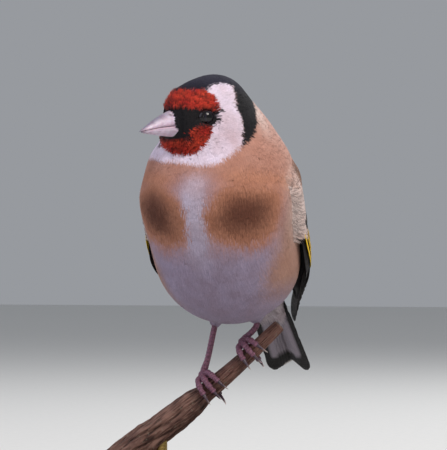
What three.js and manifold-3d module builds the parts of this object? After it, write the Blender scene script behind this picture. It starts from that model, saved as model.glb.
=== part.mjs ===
// A European goldfinch at life size, fluffed up on a cut length of branch over a plain display stand.
// Millimetres, +Z up. The bird faces -Y and its left side is +X.
// The origin is the centre of the base's underside.
import * as THREE from "three";
import { mergeVertices } from "three/addons/utils/BufferGeometryUtils.js";
import Module from "manifold-3d";

const wasm = await Module();
wasm.setup();
const V = (x, y, z) => new THREE.Vector3(x, y, z);

// Driving sizes
const GAP = 0.3; // clearance that neighbouring pieces keep
const BASE_RADIUS = 46;
const BASE_HEIGHT = 8;
const BODY_AT = V(1, -9, 78); // middle of the breast, over the middle of the base
const HEAD_AT = V(-5.3, -12.8, 30.5); // midway between the eyes, from the middle of the breast
const HEAD_TURN = 32; // degrees that the head looks to the bird's right
const BILL_LENGTH = 11; // from the forehead feathers to the tip
const EYE_RADIUS = 2.55;
const EYE_FORWARD = 0.5;
const EYE_SIDE = 5.75; // of an eye's middle from the head's midline
const LID_RADIUS = 1.95;
const TAIL_SLOPE = 44.5; // degrees that the tail points below the horizon
const TAIL_LENGTH = 40; // from the cut at the rump to the longest tips
const VANE = 0.5; // thickness of a wing feather at its root
const TARSUS_RADIUS = 0.8;
const TOE_RADIUS = 0.88;
const CLAW_RADIUS = 0.52;

// Solids

/** A closed geometry as a solid. */
function solid(geometry) {
  const bare = (geometry.index ? geometry.toNonIndexed() : geometry).clone();
  for (const name of Object.keys(bare.attributes)) {
    if (name !== "position") bare.deleteAttribute(name);
  }
  const merged = mergeVertices(bare, 1e-4);
  const made = new wasm.Manifold(
    new wasm.Mesh({
      numProp: 3,
      vertProperties: merged.attributes.position.array,
      triVerts: new Uint32Array(merged.index.array),
    }),
  );
  if (made.volume() < 0) throw new Error("a piece faces inwards");
  return made;
}

/** A solid as a geometry. */
function geometryOf(made) {
  const mesh = made.getMesh();
  const points = new Float32Array(mesh.numVert * 3);
  for (let i = 0; i < mesh.numVert; i++) {
    points.set(mesh.vertProperties.subarray(i * mesh.numProp, i * mesh.numProp + 3), i * 3);
  }
  const geometry = new THREE.BufferGeometry();
  geometry.setAttribute("position", new THREE.BufferAttribute(points, 3));
  geometry.setIndex(new THREE.BufferAttribute(mesh.triVerts, 1));
  return geometry;
}

const fuse = (pieces) => pieces.reduce((sum, piece) => sum.add(piece));
const carve = (body, tools) => tools.reduce((left, tool) => left.subtract(tool), body);

const FINEST = 0.015; // detail that a joined solid loses

/** The largest closed body of a solid, without its slivers. */
function largest(made) {
  return made.simplify(FINEST).decompose().reduce((best, one) => (one.volume() > best.volume() ? one : best));
}

/** A solid block that fills the side of a plane its normal points to. */
function halfSpace(point, normal) {
  const size = 160;
  const block = new THREE.BoxGeometry(size, size, size);
  block.translate(0, 0, size / 2);
  block.applyQuaternion(new THREE.Quaternion().setFromUnitVectors(V(0, 0, 1), normal));
  block.translate(point.x, point.y, point.z);
  return solid(block);
}

/** A closed skin over rings of points that all run the same way round, with a point at either end. */
function loft(rings, start, end) {
  const count = rings[0].length;
  const points = [start, ...rings.flat(), end];
  const faces = [];
  const at = (ring, i) => 1 + ring * count + (i % count);
  for (let i = 0; i < count; i++) faces.push(0, at(0, i + 1), at(0, i));
  for (let ring = 0; ring + 1 < rings.length; ring++) {
    for (let i = 0; i < count; i++) {
      faces.push(at(ring, i), at(ring, i + 1), at(ring + 1, i + 1));
      faces.push(at(ring, i), at(ring + 1, i + 1), at(ring + 1, i));
    }
  }
  const last = rings.length - 1;
  for (let i = 0; i < count; i++) faces.push(points.length - 1, at(last, i), at(last, i + 1));
  const geometry = new THREE.BufferGeometry();
  geometry.setAttribute(
    "position",
    new THREE.BufferAttribute(new Float32Array(points.flatMap((p) => p.toArray())), 3),
  );
  const room = faces.reduce((sum, _, i) => {
    if (i % 3) return sum;
    const [a, b, c] = [points[faces[i]], points[faces[i + 1]], points[faces[i + 2]]];
    return sum + a.dot(b.clone().cross(c));
  }, 0);
  geometry.setIndex(room > 0 ? faces : faces.reverse());
  return solid(geometry);
}

/** A round tube along a curve, its radius a function of the share along it and the angle round it. */
function tube(curve, steps, sides, radius) {
  const frames = curve.computeFrenetFrames(steps, false);
  const rings = [];
  for (let k = 0; k <= steps; k++) {
    const middle = curve.getPointAt(k / steps);
    const ring = [];
    for (let i = 0; i < sides; i++) {
      const angle = (2 * Math.PI * i) / sides;
      const out = frames.normals[k].clone().multiplyScalar(Math.cos(angle));
      out.addScaledVector(frames.binormals[k], Math.sin(angle));
      ring.push(middle.clone().addScaledVector(out, radius(k / steps, angle)));
    }
    rings.push(ring);
  }
  return loft(rings, curve.getPointAt(0), curve.getPointAt(1));
}

const curveOf = (points) => new THREE.CatmullRomCurve3(points, false, "centripetal");
const mix = THREE.MathUtils.lerp;
const between = (value, low, high) => THREE.MathUtils.smoothstep(value, low, high);
const radians = THREE.MathUtils.degToRad;

// The body's form: rounded masses that flow into each other

/** The head's own directions: forward along the bill, left and up. */
const turn = new THREE.Quaternion().setFromAxisAngle(V(0, 0, 1), radians(-HEAD_TURN));
const headPoint = (forward, left, up) => V(left, -forward, up).applyQuaternion(turn).add(HEAD_AT);

const lean = new THREE.Quaternion().setFromAxisAngle(V(1, 0, 0), radians(32));
const level = new THREE.Quaternion();

/** One rounded mass: its middle, its half widths across, along and up, and how it is turned. */
const mass = (middle, half, turned) => ({ middle, half, back: turned.clone().invert() });
const MASSES = [
  mass(V(0.1, 0, 0.4), V(20.3, 18.8, 26.8), lean), // body
  mass(V(-0.2, -4.6, 9), V(20.2, 15.6, 12.5), level), // breast
  mass(V(0.6, 5.5, -10), V(17.6, 15.4, 13.6), level), // belly
  mass(V(0.3, 15.5, -10), V(12.6, 12, 10.5), lean), // rump and vent
  mass(V(0.4, 22, -8.6), V(7.6, 9.5, 7), lean), // tail's root
  mass(V(1, 3, 16.4), V(17, 11, 10.4), lean), // mantle
  mass(V(-0.2, -3.2, 18), V(18, 14.6, 10.4), level), // neck ruff
  mass(V(2.2, 0.5, 23.6), V(11.2, 10.2, 12.2), level), // nape
  mass(headPoint(-6.8, 0, -0.2), V(9, 10.8, 10.7), turn), // skull
  mass(headPoint(0.5, 0, -1), V(5.3, 5.9, 7.3), turn), // face
  mass(headPoint(-6.6, 4.2, -4.8), V(5.9, 7.4, 7.2), turn), // left cheek
  mass(headPoint(-6.6, -4.2, -4.8), V(5.9, 7.4, 7.2), turn), // right cheek
];
const FLOW = 6; // how widely the masses flow into each other
const SOCKETS = [-1, 1].map((side) => headPoint(EYE_FORWARD + 0.6, side * 8.6, 0));
const SOCKET_DEPTH = 1.5; // how far the face is pressed in round an eye
const SOCKET_WIDTH = 3.4;

const scratch = V(0, 0, 0);
const stretched = V(0, 0, 0);
/** Distance outside one mass, negative inside. */
function outside(one, point) {
  scratch.copy(point).sub(one.middle).applyQuaternion(one.back);
  const near = stretched.copy(scratch).divide(one.half).length();
  const slope = stretched.divide(one.half).length();
  return slope > 0 ? (near * (near - 1)) / slope : -Math.min(one.half.x, one.half.y, one.half.z);
}

/** Distance outside the whole body of head, neck and torso, negative inside. */
function bodyField(point) {
  let least = Infinity;
  for (const one of MASSES) {
    const here = outside(one, point);
    const share = Math.max(FLOW - Math.abs(least - here), 0) / FLOW;
    least = Math.min(least, here) - (share * share * FLOW) / 4;
  }
  for (const socket of SOCKETS) {
    least += SOCKET_DEPTH * Math.exp(-socket.distanceToSquared(point) / SOCKET_WIDTH ** 2);
  }
  return least;
}

/** The direction in which the body's field grows. */
function bodyNormal(point) {
  const step = 0.05;
  const slope = V(0, 0, 0);
  for (const axis of ["x", "y", "z"]) {
    const ahead = point.clone();
    const behind = point.clone();
    ahead[axis] += step;
    behind[axis] -= step;
    slope[axis] = bodyField(ahead) - bodyField(behind);
  }
  return slope.normalize();
}

/** How far from a middle a straight line leaves a field. */
function reachOf(field, middle, direction) {
  const stride = 0.6;
  const point = V(0, 0, 0);
  let far = stride;
  while (field(point.copy(middle).addScaledVector(direction, far)) < 0) far += stride;
  let near = far - stride;
  for (let i = 0; i < 12; i++) {
    const half = (near + far) / 2;
    if (field(point.copy(middle).addScaledVector(direction, half)) < 0) near = half;
    else far = half;
  }
  return near;
}

/** A closed skin where straight lines from a middle leave a field. */
function skin(field, middle, detail) {
  const ball = new THREE.IcosahedronGeometry(1, detail);
  const points = ball.getAttribute("position");
  const direction = V(0, 0, 0);
  for (let i = 0; i < points.count; i++) {
    direction.fromBufferAttribute(points, i).normalize();
    const reach = reachOf(field, middle, direction);
    const spot = middle.clone().addScaledVector(direction, reach);
    points.setXYZ(i, spot.x, spot.y, spot.z);
  }
  return solid(ball);
}

/** A plane by a point on it and the direction that leads out of the head's side. */
const cut = (point, normal) => ({ point, normal: normal.normalize() });
const HEAD_CUT = cut(V(0, -6, 21.5), V(0, 0.33, -0.94));
const NECK_CUT = cut(V(0, -6, 14), V(0, 0.42, -0.91));
const TAIL_CUT = cut(V(0.9, 27.5, -9.5), V(0, Math.cos(radians(TAIL_SLOPE)), -Math.sin(radians(TAIL_SLOPE))));
const beyond = (plane, point) => point.clone().sub(plane.point).dot(plane.normal);
const past = (plane, gap) => halfSpace(plane.point.clone().addScaledVector(plane.normal, gap), plane.normal);
const before = (plane, gap) => (
  halfSpace(plane.point.clone().addScaledVector(plane.normal, gap), plane.normal.clone().negate())
);
const TRIM = 4; // spare length of a skin past the plane that trims it

/** The torso, grown by a margin and trimmed at the neck and the tail. */
function torso(margin, detail) {
  const field = (p) => Math.max(
    bodyField(p) - margin,
    -beyond(NECK_CUT, p) - TRIM,
    beyond(TAIL_CUT, p) - TRIM,
  );
  return skin(field, V(0, 1.5, -2), detail);
}

// The bill, in the head's directions
const BILL_ROOT = 2.6;
const BILL_TIP = 5.9 + BILL_LENGTH;
const TIP_DROP = -4.5;

/** Heights and half width of the bill at a place along it. */
function billAt(forward) {
  const along = (forward - BILL_ROOT) / (BILL_TIP - BILL_ROOT);
  const arch = Math.sin(Math.PI * Math.min(1, Math.max(0, along)));
  return {
    culmen: mix(2.6, TIP_DROP + 0.1, along) + 0.9 * arch,
    mouth: mix(-2.6, TIP_DROP, along) + 0.45 * arch,
    gonys: mix(-5.8, TIP_DROP - 0.1, Math.pow(Math.max(0, along), 1.25)) - 0.1 * arch,
    half: 3.55 * Math.pow(Math.max(0, 1 - along), 0.72) + 0.1,
  };
}

/** One mandible: the share of the bill above or below the mouth line. */
function mandible(upper, margin) {
  const steps = 9;
  const sides = 12;
  const tip = upper ? BILL_TIP : BILL_TIP - 0.7;
  const rings = [];
  for (let k = 0; k < steps; k++) {
    const forward = mix(BILL_ROOT - margin, tip, Math.pow(k / (steps - 0.7), 0.9));
    const here = billAt(forward);
    const edge = here.mouth + (upper ? GAP / 2 - margin : -GAP / 2 + margin);
    const crest = upper
      ? Math.max(here.culmen, edge + 0.2) + margin
      : Math.min(here.gonys, edge - 0.2) - margin;
    const half = here.half * (upper ? 1 : 0.94) + margin;
    const ring = [];
    for (let i = 0; i < sides; i++) {
      const angle = (2 * Math.PI * i) / sides;
      const side = half * Math.cos(angle);
      const lift = Math.sin(angle);
      const round = Math.sign(lift) * Math.pow(Math.abs(lift), 0.85);
      const rise = upper === lift > 0 ? Math.abs(crest - edge) * round : 0;
      ring.push(headPoint(forward, side, edge + rise));
    }
    rings.push(ring);
  }
  const first = billAt(BILL_ROOT);
  const end = headPoint(tip + margin, 0, TIP_DROP + (upper ? 0.1 : -0.45));
  return loft(rings, headPoint(BILL_ROOT - margin, 0, first.mouth + (upper ? 1.5 : -1.5)), end);
}

/** A ball at a place of the head, its half widths along, across and up. */
function headBall(forward, left, up, half, detail) {
  const ball = new THREE.IcosahedronGeometry(1, detail);
  ball.scale(half.y, half.x, half.z);
  ball.applyQuaternion(turn);
  const middle = headPoint(forward, left, up);
  ball.translate(middle.x, middle.y, middle.z);
  return solid(ball);
}

const SIDES = [
  { name: "left", side: 1 },
  { name: "right", side: -1 },
];

/** An eyeball, grown by a margin. */
function eye(side, margin) {
  const radius = EYE_RADIUS + margin;
  return headBall(EYE_FORWARD, side * EYE_SIDE, 0, V(radius, radius, radius), 2);
}

/** The ring of the lids, a flat ring standing round the eye. */
function lid(side) {
  const ring = new THREE.TorusGeometry(LID_RADIUS, 0.42, 6, 20);
  ring.rotateY(Math.PI / 2);
  ring.scale(1, 1, 0.94);
  const place = headPoint(EYE_FORWARD + 0.15, side * (EYE_SIDE + 1.65), 0);
  ring.rotateZ(radians(-HEAD_TURN - side * 8));
  ring.translate(place.x, place.y, place.z);
  return solid(ring);
}

/** The nostril's shallow pit at the side of the bill's root. */
const nostril = (side) => headBall(7.3, side * 2.35, 0.2, V(0.75, 0.55, 0.42), 1);

/** The head with the lids, cut for the neck, the bill and the eyes. */
function headSolid() {
  const field = (p) => Math.max(bodyField(p), beyond(HEAD_CUT, p) - TRIM);
  const whole = fuse([skin(field, headPoint(-3.5, 0, -0.5), 8), ...SIDES.map(({ side }) => lid(side))]);
  return largest(
    carve(whole, [
      past(HEAD_CUT, -GAP / 2),
      mandible(true, GAP),
      mandible(false, GAP),
      ...SIDES.map(({ side }) => eye(side, GAP)),
    ]),
  );
}

/** The neck, a band between the head's cut and the torso's. */
function neckSolid() {
  const field = (p) => Math.max(bodyField(p), -beyond(HEAD_CUT, p) - TRIM, beyond(NECK_CUT, p) - TRIM);
  const band = skin(field, V(-0.5, -5, 18), 7);
  return largest(carve(band, [
    before(HEAD_CUT, GAP / 2),
    past(NECK_CUT, -GAP / 2),
  ]));
}

// Feathers

/** A feather as a thin closed blade along a line of frames: its middle line, its width and its thickness. */
function vane({ frames, half, thick, tilt }) {
  const rings = frames.map(({ point, along, out }, k) => {
    const share = k / (frames.length - 1);
    const side = along.clone().cross(out).normalize();
    const width = half(share);
    const depth = thick * mix(1, 0.75, share) * 0.5;
    const lift = tilt * width;
    return [
      point.clone().addScaledVector(side, width).addScaledVector(out, lift - depth),
      point.clone().addScaledVector(side, -width).addScaledVector(out, -lift - depth),
      point.clone().addScaledVector(side, -width).addScaledVector(out, -lift + depth),
      point.clone().addScaledVector(side, width).addScaledVector(out, lift + depth),
    ];
  });
  const first = frames[0].point;
  const last = frames[frames.length - 1];
  return loft(rings, first, last.point.clone().addScaledVector(last.along, half(1) * 0.55));
}

/** Width of a feather along it: narrow at the root, widest past the middle, rounded at the tip. */
const blade = (width, blunt, root) => (share) => {
  const swell = mix(root, 1, between(share, 0, 0.45));
  const near = Math.max(0, share - blunt) / (1 - blunt + 0.02);
  const close = Math.sqrt(Math.max(0, 1 - near * near));
  return Math.max(0.16, (width / 2) * swell * close);
};

// The wing, as a sheet from the shoulder to the tips: along runs down it, across from the back to the flank
const WING = [
  { upper: V(8, 11.5, 19.5), lower: V(18.4, -3.4, 9.8), bulge: 3 },
  { upper: V(8, 17.5, 11), lower: V(20.3, 1.4, -1), bulge: 4 },
  { upper: V(6.4, 22.5, 2), lower: V(20.1, 7.4, -9.8), bulge: 4.6 },
  { upper: V(4.6, 27.5, -5.5), lower: V(17, 16, -16.5), bulge: 4 },
  { upper: V(4.4, 35, -12.8), lower: V(12.2, 28, -21), bulge: 2.2 },
  { upper: V(5.6, 46, -24.4), lower: V(6.3, 45.6, -26.2), bulge: 0 },
];
const upperEdge = curveOf(WING.map((one) => one.upper));
const lowerEdge = curveOf(WING.map((one) => one.lower));
const bulgeAt = (along) => {
  const place = Math.min(0.9999, Math.max(0, along)) * (WING.length - 1);
  const first = Math.floor(place);
  return mix(WING[first].bulge, WING[first + 1].bulge, place - first);
};

const WING_CLEAR = 1.202; // that the middle of the lowest vane keeps from the body
const CORE_CLEAR = 0.55;

/** A point of the left wing's sheet, held clear of the body by at least its lift. */
function wingPoint(along, across, lift) {
  const a = Math.min(1, Math.max(0, along));
  const upper = upperEdge.getPoint(a);
  const lower = lowerEdge.getPoint(a);
  const point = upper.clone().lerp(lower, across);
  const chord = lower.clone().sub(upper);
  const run = upperEdge.getTangent(a).lerp(lowerEdge.getTangent(a), across);
  const out = chord.clone().cross(run).normalize();
  if (out.x < 0) out.negate();
  point.addScaledVector(out, bulgeAt(a) * Math.sin(Math.PI * Math.min(1, Math.max(0, across))) + lift);
  const short = Math.max(lift, 0) + WING_CLEAR - bodyField(point);
  return short > 0 ? point.addScaledVector(bodyNormal(point), short) : point;
}

/** The frames of a feather that lies on the wing's sheet from a root to a tip. */
function wingFrames(root, tip, lifts, steps) {
  const spots = [];
  const at = (share) => wingPoint(
    mix(root[0], tip[0], share),
    mix(root[1], tip[1], share) + 0.05 * Math.sin(Math.PI * share),
    mix(lifts[0], lifts[1], share),
  );
  for (let k = 0; k <= steps; k++) {
    const share = k / steps;
    const point = at(share);
    const along = at(share + 0.02).sub(at(share - 0.02)).normalize();
    const a = mix(root[0], tip[0], share);
    const b = mix(root[1], tip[1], share);
    const across = wingPoint(a, b + 0.03, 0).sub(wingPoint(a, b - 0.03, 0));
    const out = across.cross(along).normalize();
    if (out.x < 0) out.negate();
    spots.push({ point, along, out });
  }
  return spots;
}

/** A tier of wing feathers: roots and tips spread evenly between its first and last. */
function wingTier({ count, roots, tips, width, lifts, rise, blunt, tilt, base, steps }) {
  const made = [];
  for (let i = 0; i < count; i++) {
    const share = count > 1 ? i / (count - 1) : 0;
    const root = [mix(roots[0][0], roots[1][0], share), mix(roots[0][1], roots[1][1], share)];
    const tip = [mix(tips[0][0], tips[1][0], share), mix(tips[0][1], tips[1][1], share)];
    made.push(vane({
      frames: wingFrames(root, tip, lifts.map((lift) => lift + rise * share), steps),
      half: blade(mix(width[0], width[1], share), blunt, base),
      thick: VANE,
      tilt,
    }));
  }
  return made;
}

/** The arm and the roots of the feathers: a slab under the tiers that fills down to the torso. */
function wingCore() {
  const steps = 8;
  const sides = 7;
  const rings = [];
  for (let k = 0; k <= steps; k++) {
    const along = mix(0, 0.76, k / steps);
    const most = mix(6, 0.8, between(along, 0.5, 0.72));
    const outer = [];
    for (let i = 0; i < sides; i++) outer.push(wingPoint(along, mix(0.04, 0.92, i / (sides - 1)), 0.3));
    const inner = outer.map((point) => {
      const depth = Math.min(most, bodyField(point) - CORE_CLEAR);
      return point.clone().addScaledVector(bodyNormal(point), -depth);
    });
    rings.push([...outer, ...inner.reverse()]);
  }
  const middleOf = (ring) => ring.reduce((sum, p) => sum.add(p), V(0, 0, 0)).divideScalar(ring.length);
  return loft(rings, middleOf(rings[0]), middleOf(rings[steps]));
}

const WING_TIERS = {
  primaries: {
    count: 5, roots: [[0.34, 0.9], [0.4, 0.66]], tips: [[0.985, 0.7], [0.76, 0.56]],
    width: [5, 6.2], lifts: [-0.5, -0.2], rise: 1.8, blunt: 0.74, tilt: -0.22, base: 0.62, steps: 5,
  },
  secondaries: {
    count: 4, roots: [[0.32, 0.66], [0.32, 0.36]], tips: [[0.728, 0.496], [0.703, 0.264]],
    width: [6.4, 6.8], lifts: [0.3, 0.9], rise: 0.7, blunt: 0.78, tilt: -0.26, base: 0.62, steps: 3,
  },
  tertials: {
    count: 3, roots: [[0.3, 0.3], [0.22, 0.1]], tips: [[0.682, 0.175], [0.471, 0.07]],
    width: [6.8, 6.4], lifts: [0.8, 1.5], rise: 0.9, blunt: 0.72, tilt: -0.2, base: 0.62, steps: 3,
  },
  primaryCoverts: {
    count: 3, roots: [[0.24, 0.95], [0.26, 0.84]], tips: [[0.52, 0.93], [0.48, 0.84]],
    width: [3.8, 4.2], lifts: [0.154, 0.912], rise: 0.3, blunt: 0.7, tilt: -0.2, base: 0.62, steps: 3,
  },
  greaterCoverts: {
    count: 5, roots: [[0.16, 0.84], [0.15, 0.1]], tips: [[0.44, 0.82], [0.4, 0.12]],
    width: [5.8, 6.4], lifts: [0.658, 1.627], rise: 0.3, blunt: 0.68, tilt: -0.24, base: 0.8, steps: 2,
  },
  medianCoverts: {
    count: 5, roots: [[0.04, 0.86], [0.04, 0.1]], tips: [[0.23, 0.84], [0.21, 0.12]],
    width: [5.4, 6], lifts: [0.433, 2.06], rise: 0, blunt: 0.6, tilt: -0.2, base: 0.8, steps: 2,
  },
};

/** The left wing, kept clear of the given solids. */
function wingSolid(clear) {
  const vanes = Object.values(WING_TIERS).flatMap(wingTier);
  return largest(carve(fuse([wingCore(), ...vanes]), clear));
}

// The tail, as a shallow arch of feathers from the rump
const tailRun = TAIL_CUT.normal;
const tailUp = V(0, -tailRun.z, tailRun.y);
const TAIL_ARCH = 1.1; // drop of the outer feathers below the middle ones
const TAIL_SWAY = 1.5; // of its end to the bird's left

/** A point of the tail: the share of its length, the side in mm and a lift above it. */
function tailPoint(along, side, lift) {
  const half = mix(4.8, 6.6, along);
  return TAIL_CUT.point
    .clone()
    .addScaledVector(tailRun, GAP + along * TAIL_LENGTH)
    .add(V(side + TAIL_SWAY * along, 0, 0))
    .addScaledVector(tailUp, lift - TAIL_ARCH * Math.pow(side / half, 2));
}

/** A tail feather from its root to its tip, side by side with its neighbours. */
function tailVane(rootSide, tipSide, length, lifts, width, blunt) {
  const steps = 3;
  const frames = [];
  for (let k = 0; k <= steps; k++) {
    const share = k / steps;
    const at = (s) => tailPoint(length * s, mix(rootSide, tipSide, s), mix(lifts[0], lifts[1], s));
    const along = at(share + 0.01).sub(at(share - 0.01)).normalize();
    const side = mix(rootSide, tipSide, share);
    const out = tailUp.clone().add(V(side * 0.045, 0, 0)).normalize();
    frames.push({ point: at(share), along, out });
  }
  return vane({ frames, half: blade(width, blunt, 0.62), thick: 0.46, tilt: 0 });
}

/** The tail: six pairs of feathers, coverts above and below, and the root that carries them. */
function tailSolid() {
  const pieces = [];
  const pairs = 6;
  for (let i = 0; i < pairs; i++) {
    for (const side of [1, -1]) {
      const share = i / (pairs - 1);
      const length = (TAIL_LENGTH + 0.6 * share) / TAIL_LENGTH;
      const lift = 1.1 - i * 0.47;
      const places = [side * mix(0.5, 3, share), side * mix(1.25, 4.5, share)];
      pieces.push(tailVane(...places, length, [lift * 0.6, lift], 4, 0.9));
    }
  }
  const over = { count: 3, reach: [0.42, 0.3], lift: 2.6 };
  const under = { count: 3, reach: [0.56, 0.42], lift: -3.3 };
  for (const { count, reach, lift } of [over, under]) {
    for (let i = 0; i < count; i++) {
      const place = (i / (count - 1)) * 2 - 1;
      const length = mix(reach[0], reach[1], Math.abs(place));
      const thin = lift > 0 ? 1 : -1;
      const lifts = [lift * 0.72 - Math.abs(place) * thin, thin * 1.3];
      pieces.push(tailVane(place * 3.4, place * 3.2, length, lifts, 5, 0.5));
    }
  }
  // the root: a wedge that carries on the rump's section
  const rings = [];
  const steps = 5;
  const sides = 12;
  for (let k = 0; k <= steps; k++) {
    const share = k / steps;
    const ring = [];
    for (let i = 0; i < sides; i++) {
      const angle = (2 * Math.PI * i) / sides;
      const height = mix(5.4, 0.7, Math.pow(share, 0.7));
      const half = mix(5.3, 3.4, share);
      ring.push(tailPoint(share * 0.5, half * Math.cos(angle), height * 0.9 * Math.sin(angle)));
    }
    rings.push(ring);
  }
  pieces.push(loft(rings, tailPoint(0, 0, 0), tailPoint(0.5, 0, 0)));
  return largest(carve(fuse(pieces), [before(TAIL_CUT, GAP / 2)]));
}

// The perch: a cut length of branch, thick and fibrous below, slim above
const PERCH = curveOf([
  V(-33, 3.5, -64.6), V(-22.6, 5, -56.6), V(-14.2, 6.4, -50.2), V(-5.6, 8.1, -42.9),
  V(0.9, 9.3, -37.2), V(6.9, 10.4, -31.6), V(10.4, 11.1, -28.2), V(12.7, 11.5, -25.9),
]);
const PERCH_STEP = 0.5; // share along it where the thick, barkless part ends
const bump = (share, place, width) => Math.exp(-Math.pow((share - place) / width, 2));

function perchRadius(share) {
  const thick = mix(4.5, 3.55, share / PERCH_STEP);
  const slim = mix(2.75, 1.7, (share - PERCH_STEP) / (1 - PERCH_STEP));
  return mix(thick, slim, between(share, PERCH_STEP - 0.03, PERCH_STEP + 0.05));
}

/** The branch, grown by a margin. */
function perch(margin, steps, sides) {
  const grain = (share, angle) => {
    const fibre = 0.16 * Math.sin(5 * angle + 6 * share) + 0.1 * Math.sin(9 * angle - 14 * share + 1);
    const knot = 0.35 * bump(share, 0.83, 0.02) + 0.3 * bump(share, 0.21, 0.03);
    return (fibre * (1 - 0.6 * between(share, 0.45, 0.58)) + knot) * (perchRadius(share) / 4);
  };
  return tube(PERCH, steps, sides, (share, angle) => perchRadius(share) + grain(share, angle) + margin);
}

// Legs and feet
const LEGS = [
  {
    name: "left",
    knee: V(6.4, 12.6, -20.5),
    ankle: V(6.2, 10.9, -26.2),
    grip: 0.826, // share along the perch
    spread: [2.7, 0.1, -2.6],
    lengths: [4.8, 6.2, 5.2], hind: 7,
  },
  {
    name: "right",
    knee: V(-4.4, 10.5, -21.5),
    ankle: V(-6.6, 7.4, -35.4),
    grip: 0.5895, // share along the perch
    spread: [2.6, -0.2, -2.8],
    lengths: [5.8, 7.2, 6], hind: 7.4,
  },
];

/** Directions round the perch at a place along it: its axis, up away from it and forwards over it. */
function perchFrame(share) {
  const axis = PERCH.getTangentAt(share);
  const front = V(0, -1, 0).addScaledVector(axis, axis.y).normalize();
  const top = front.clone().cross(axis).normalize();
  if (top.z < 0) top.negate();
  return { middle: PERCH.getPointAt(share), axis, front, top };
}

/** A point on a ring round the perch: degrees from its top towards its front, at a height over the wood. */
function roundPerch(share, degrees, height) {
  const { middle, front, top } = perchFrame(share);
  const radius = perchRadius(share) + height;
  const angle = radians(degrees);
  return middle
    .clone()
    .addScaledVector(top, radius * Math.cos(angle))
    .addScaledVector(front, radius * Math.sin(angle));
}

const PERCH_LENGTH = PERCH.getLength();
const HUG = TOE_RADIUS + 0.45; // of a toe's middle over the wood

/** The middle line of a toe and of the claw past it. */
function toeLines(leg, ankle, slide, length, ways) {
  const reach = perchRadius(leg.grip) + HUG;
  const sweep = (length / reach) * (180 / Math.PI);
  const from = ways > 0 ? 12 : -16;
  const points = [ankle];
  const steps = 6;
  for (let k = 0; k <= steps; k++) {
    const share = k / steps;
    const place = leg.grip + (slide * mix(0.35, 1, Math.sqrt(share))) / PERCH_LENGTH;
    const wave = 0.1 * Math.cos(Math.PI * 5 * share);
    points.push(roundPerch(place, ways * (Math.abs(from) + sweep * share), HUG + wave));
  }
  const toe = curveOf(points);
  const end = toe.getPointAt(1);
  const along = toe.getTangentAt(1);
  const place = leg.grip + slide / PERCH_LENGTH;
  const { middle } = perchFrame(place);
  const away = end.clone().sub(middle).normalize();
  const size = ways > 0 ? 3.4 : 5.2;
  const claw = curveOf([
    end.clone().addScaledVector(along, GAP),
    end.clone().addScaledVector(along, size * 0.45).addScaledVector(away, 0.45),
    end.clone().addScaledVector(along, size * 0.85).addScaledVector(away, -0.1),
    end.clone().addScaledVector(along, size).addScaledVector(away, -0.7),
  ]);
  return { toe, claw };
}

/** A bare lower leg with its four toes round the perch, and the middle lines of its claws. */
function foot(leg) {
  const palm = roundPerch(leg.grip, -4, HUG + 0.7);
  const ankle = leg.ankle;
  const shin = curveOf([leg.knee, leg.knee.clone().lerp(ankle, 0.5), ankle, palm]);
  const knuckle = (share) => 0.14 * bump(share, 0.9, 0.08);
  const shank = tube(shin, 8, 7, (share) => TARSUS_RADIUS + knuckle(share));
  const pieces = [shank];
  const claws = [];
  leg.spread.forEach((slide, i) => {
    const lines = toeLines(leg, palm, slide, leg.lengths[i], 1);
    pieces.push(tube(lines.toe, 8, 6, toeRadius(4 - (i !== 1))));
    claws.push(lines.claw);
  });
  const hind = toeLines(leg, palm, -0.2, leg.hind, -1);
  pieces.push(tube(hind.toe, 8, 6, toeRadius(2)));
  claws.push(hind.claw);
  return { bare: fuse(pieces), claws };
}

/** A toe's radius along it, with a pad under each joint. */
const toeRadius = (pads) => (share) => (
  TOE_RADIUS * mix(1.08, 0.78, share) * (1 + 0.13 * Math.cos(2 * Math.PI * pads * share))
);

/** A claw: a bent cone that ends in a point. */
const claw = (curve, root) => tube(curve, 5, 6, (share) => mix(root, 0.12, Math.pow(share, 0.9)));

/** The feathered upper leg, a short cuff where the leg leaves the belly. */
function thigh(leg) {
  const run = leg.ankle.clone().sub(leg.knee).normalize();
  const start = leg.knee.clone().addScaledVector(run, -3);
  const end = leg.knee.clone().addScaledVector(run, 4.2);
  const line = curveOf([start, leg.knee, end]);
  return tube(line, 8, 12, (share) => mix(3.6, 1.25, Math.pow(share, 0.8)));
}

// The stand
const ROD_RADIUS = 1.7;
const ROD_SINK = 5;
const ROD_SHARE = 0.288; // share along the perch where the rod holds it

/** The round base with a rounded edge. */
function standBase() {
  const round = BASE_RADIUS;
  const profile = [
    [0, 0], [round - 1, 0], [round, 1], [round, BASE_HEIGHT - 3.2], [round - 0.9, BASE_HEIGHT - 2.2],
    [round - 1.6, BASE_HEIGHT - 0.7], [round - 3, BASE_HEIGHT], [0, BASE_HEIGHT],
  ].map(([x, y]) => new THREE.Vector2(x, y));
  const disc = new THREE.LatheGeometry(profile, 32);
  disc.rotateX(Math.PI / 2);
  return solid(disc);
}

/** A round bar standing on a point. */
function bar(foot, radius, height) {
  const rod = new THREE.CylinderGeometry(radius, radius, height, 24);
  rod.rotateX(Math.PI / 2);
  rod.translate(foot.x, foot.y, foot.z + height / 2);
  return solid(rod);
}

// Everything, each piece a named mesh
const COLOURS = {
  face: ["#a8341c", 0.9], neck: ["#e6dccb", 0.95], torso: ["#b98a63", 0.95], wing: ["#17151a", 0.75],
  tail: ["#16141a", 0.75], bill: ["#e3c9c4", 0.45], eye: ["#0b0a10", 0.1], leg: ["#a2717c", 0.6],
  claw: ["#8d7f86", 0.35], perch: ["#6b4a3c", 0.95], base: ["#4a3326", 0.5], rod: ["#a99a72", 0.35],
};
const bird = new THREE.Group();
bird.position.copy(BODY_AT);
const whole = new THREE.Group();
whole.add(bird);

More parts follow.
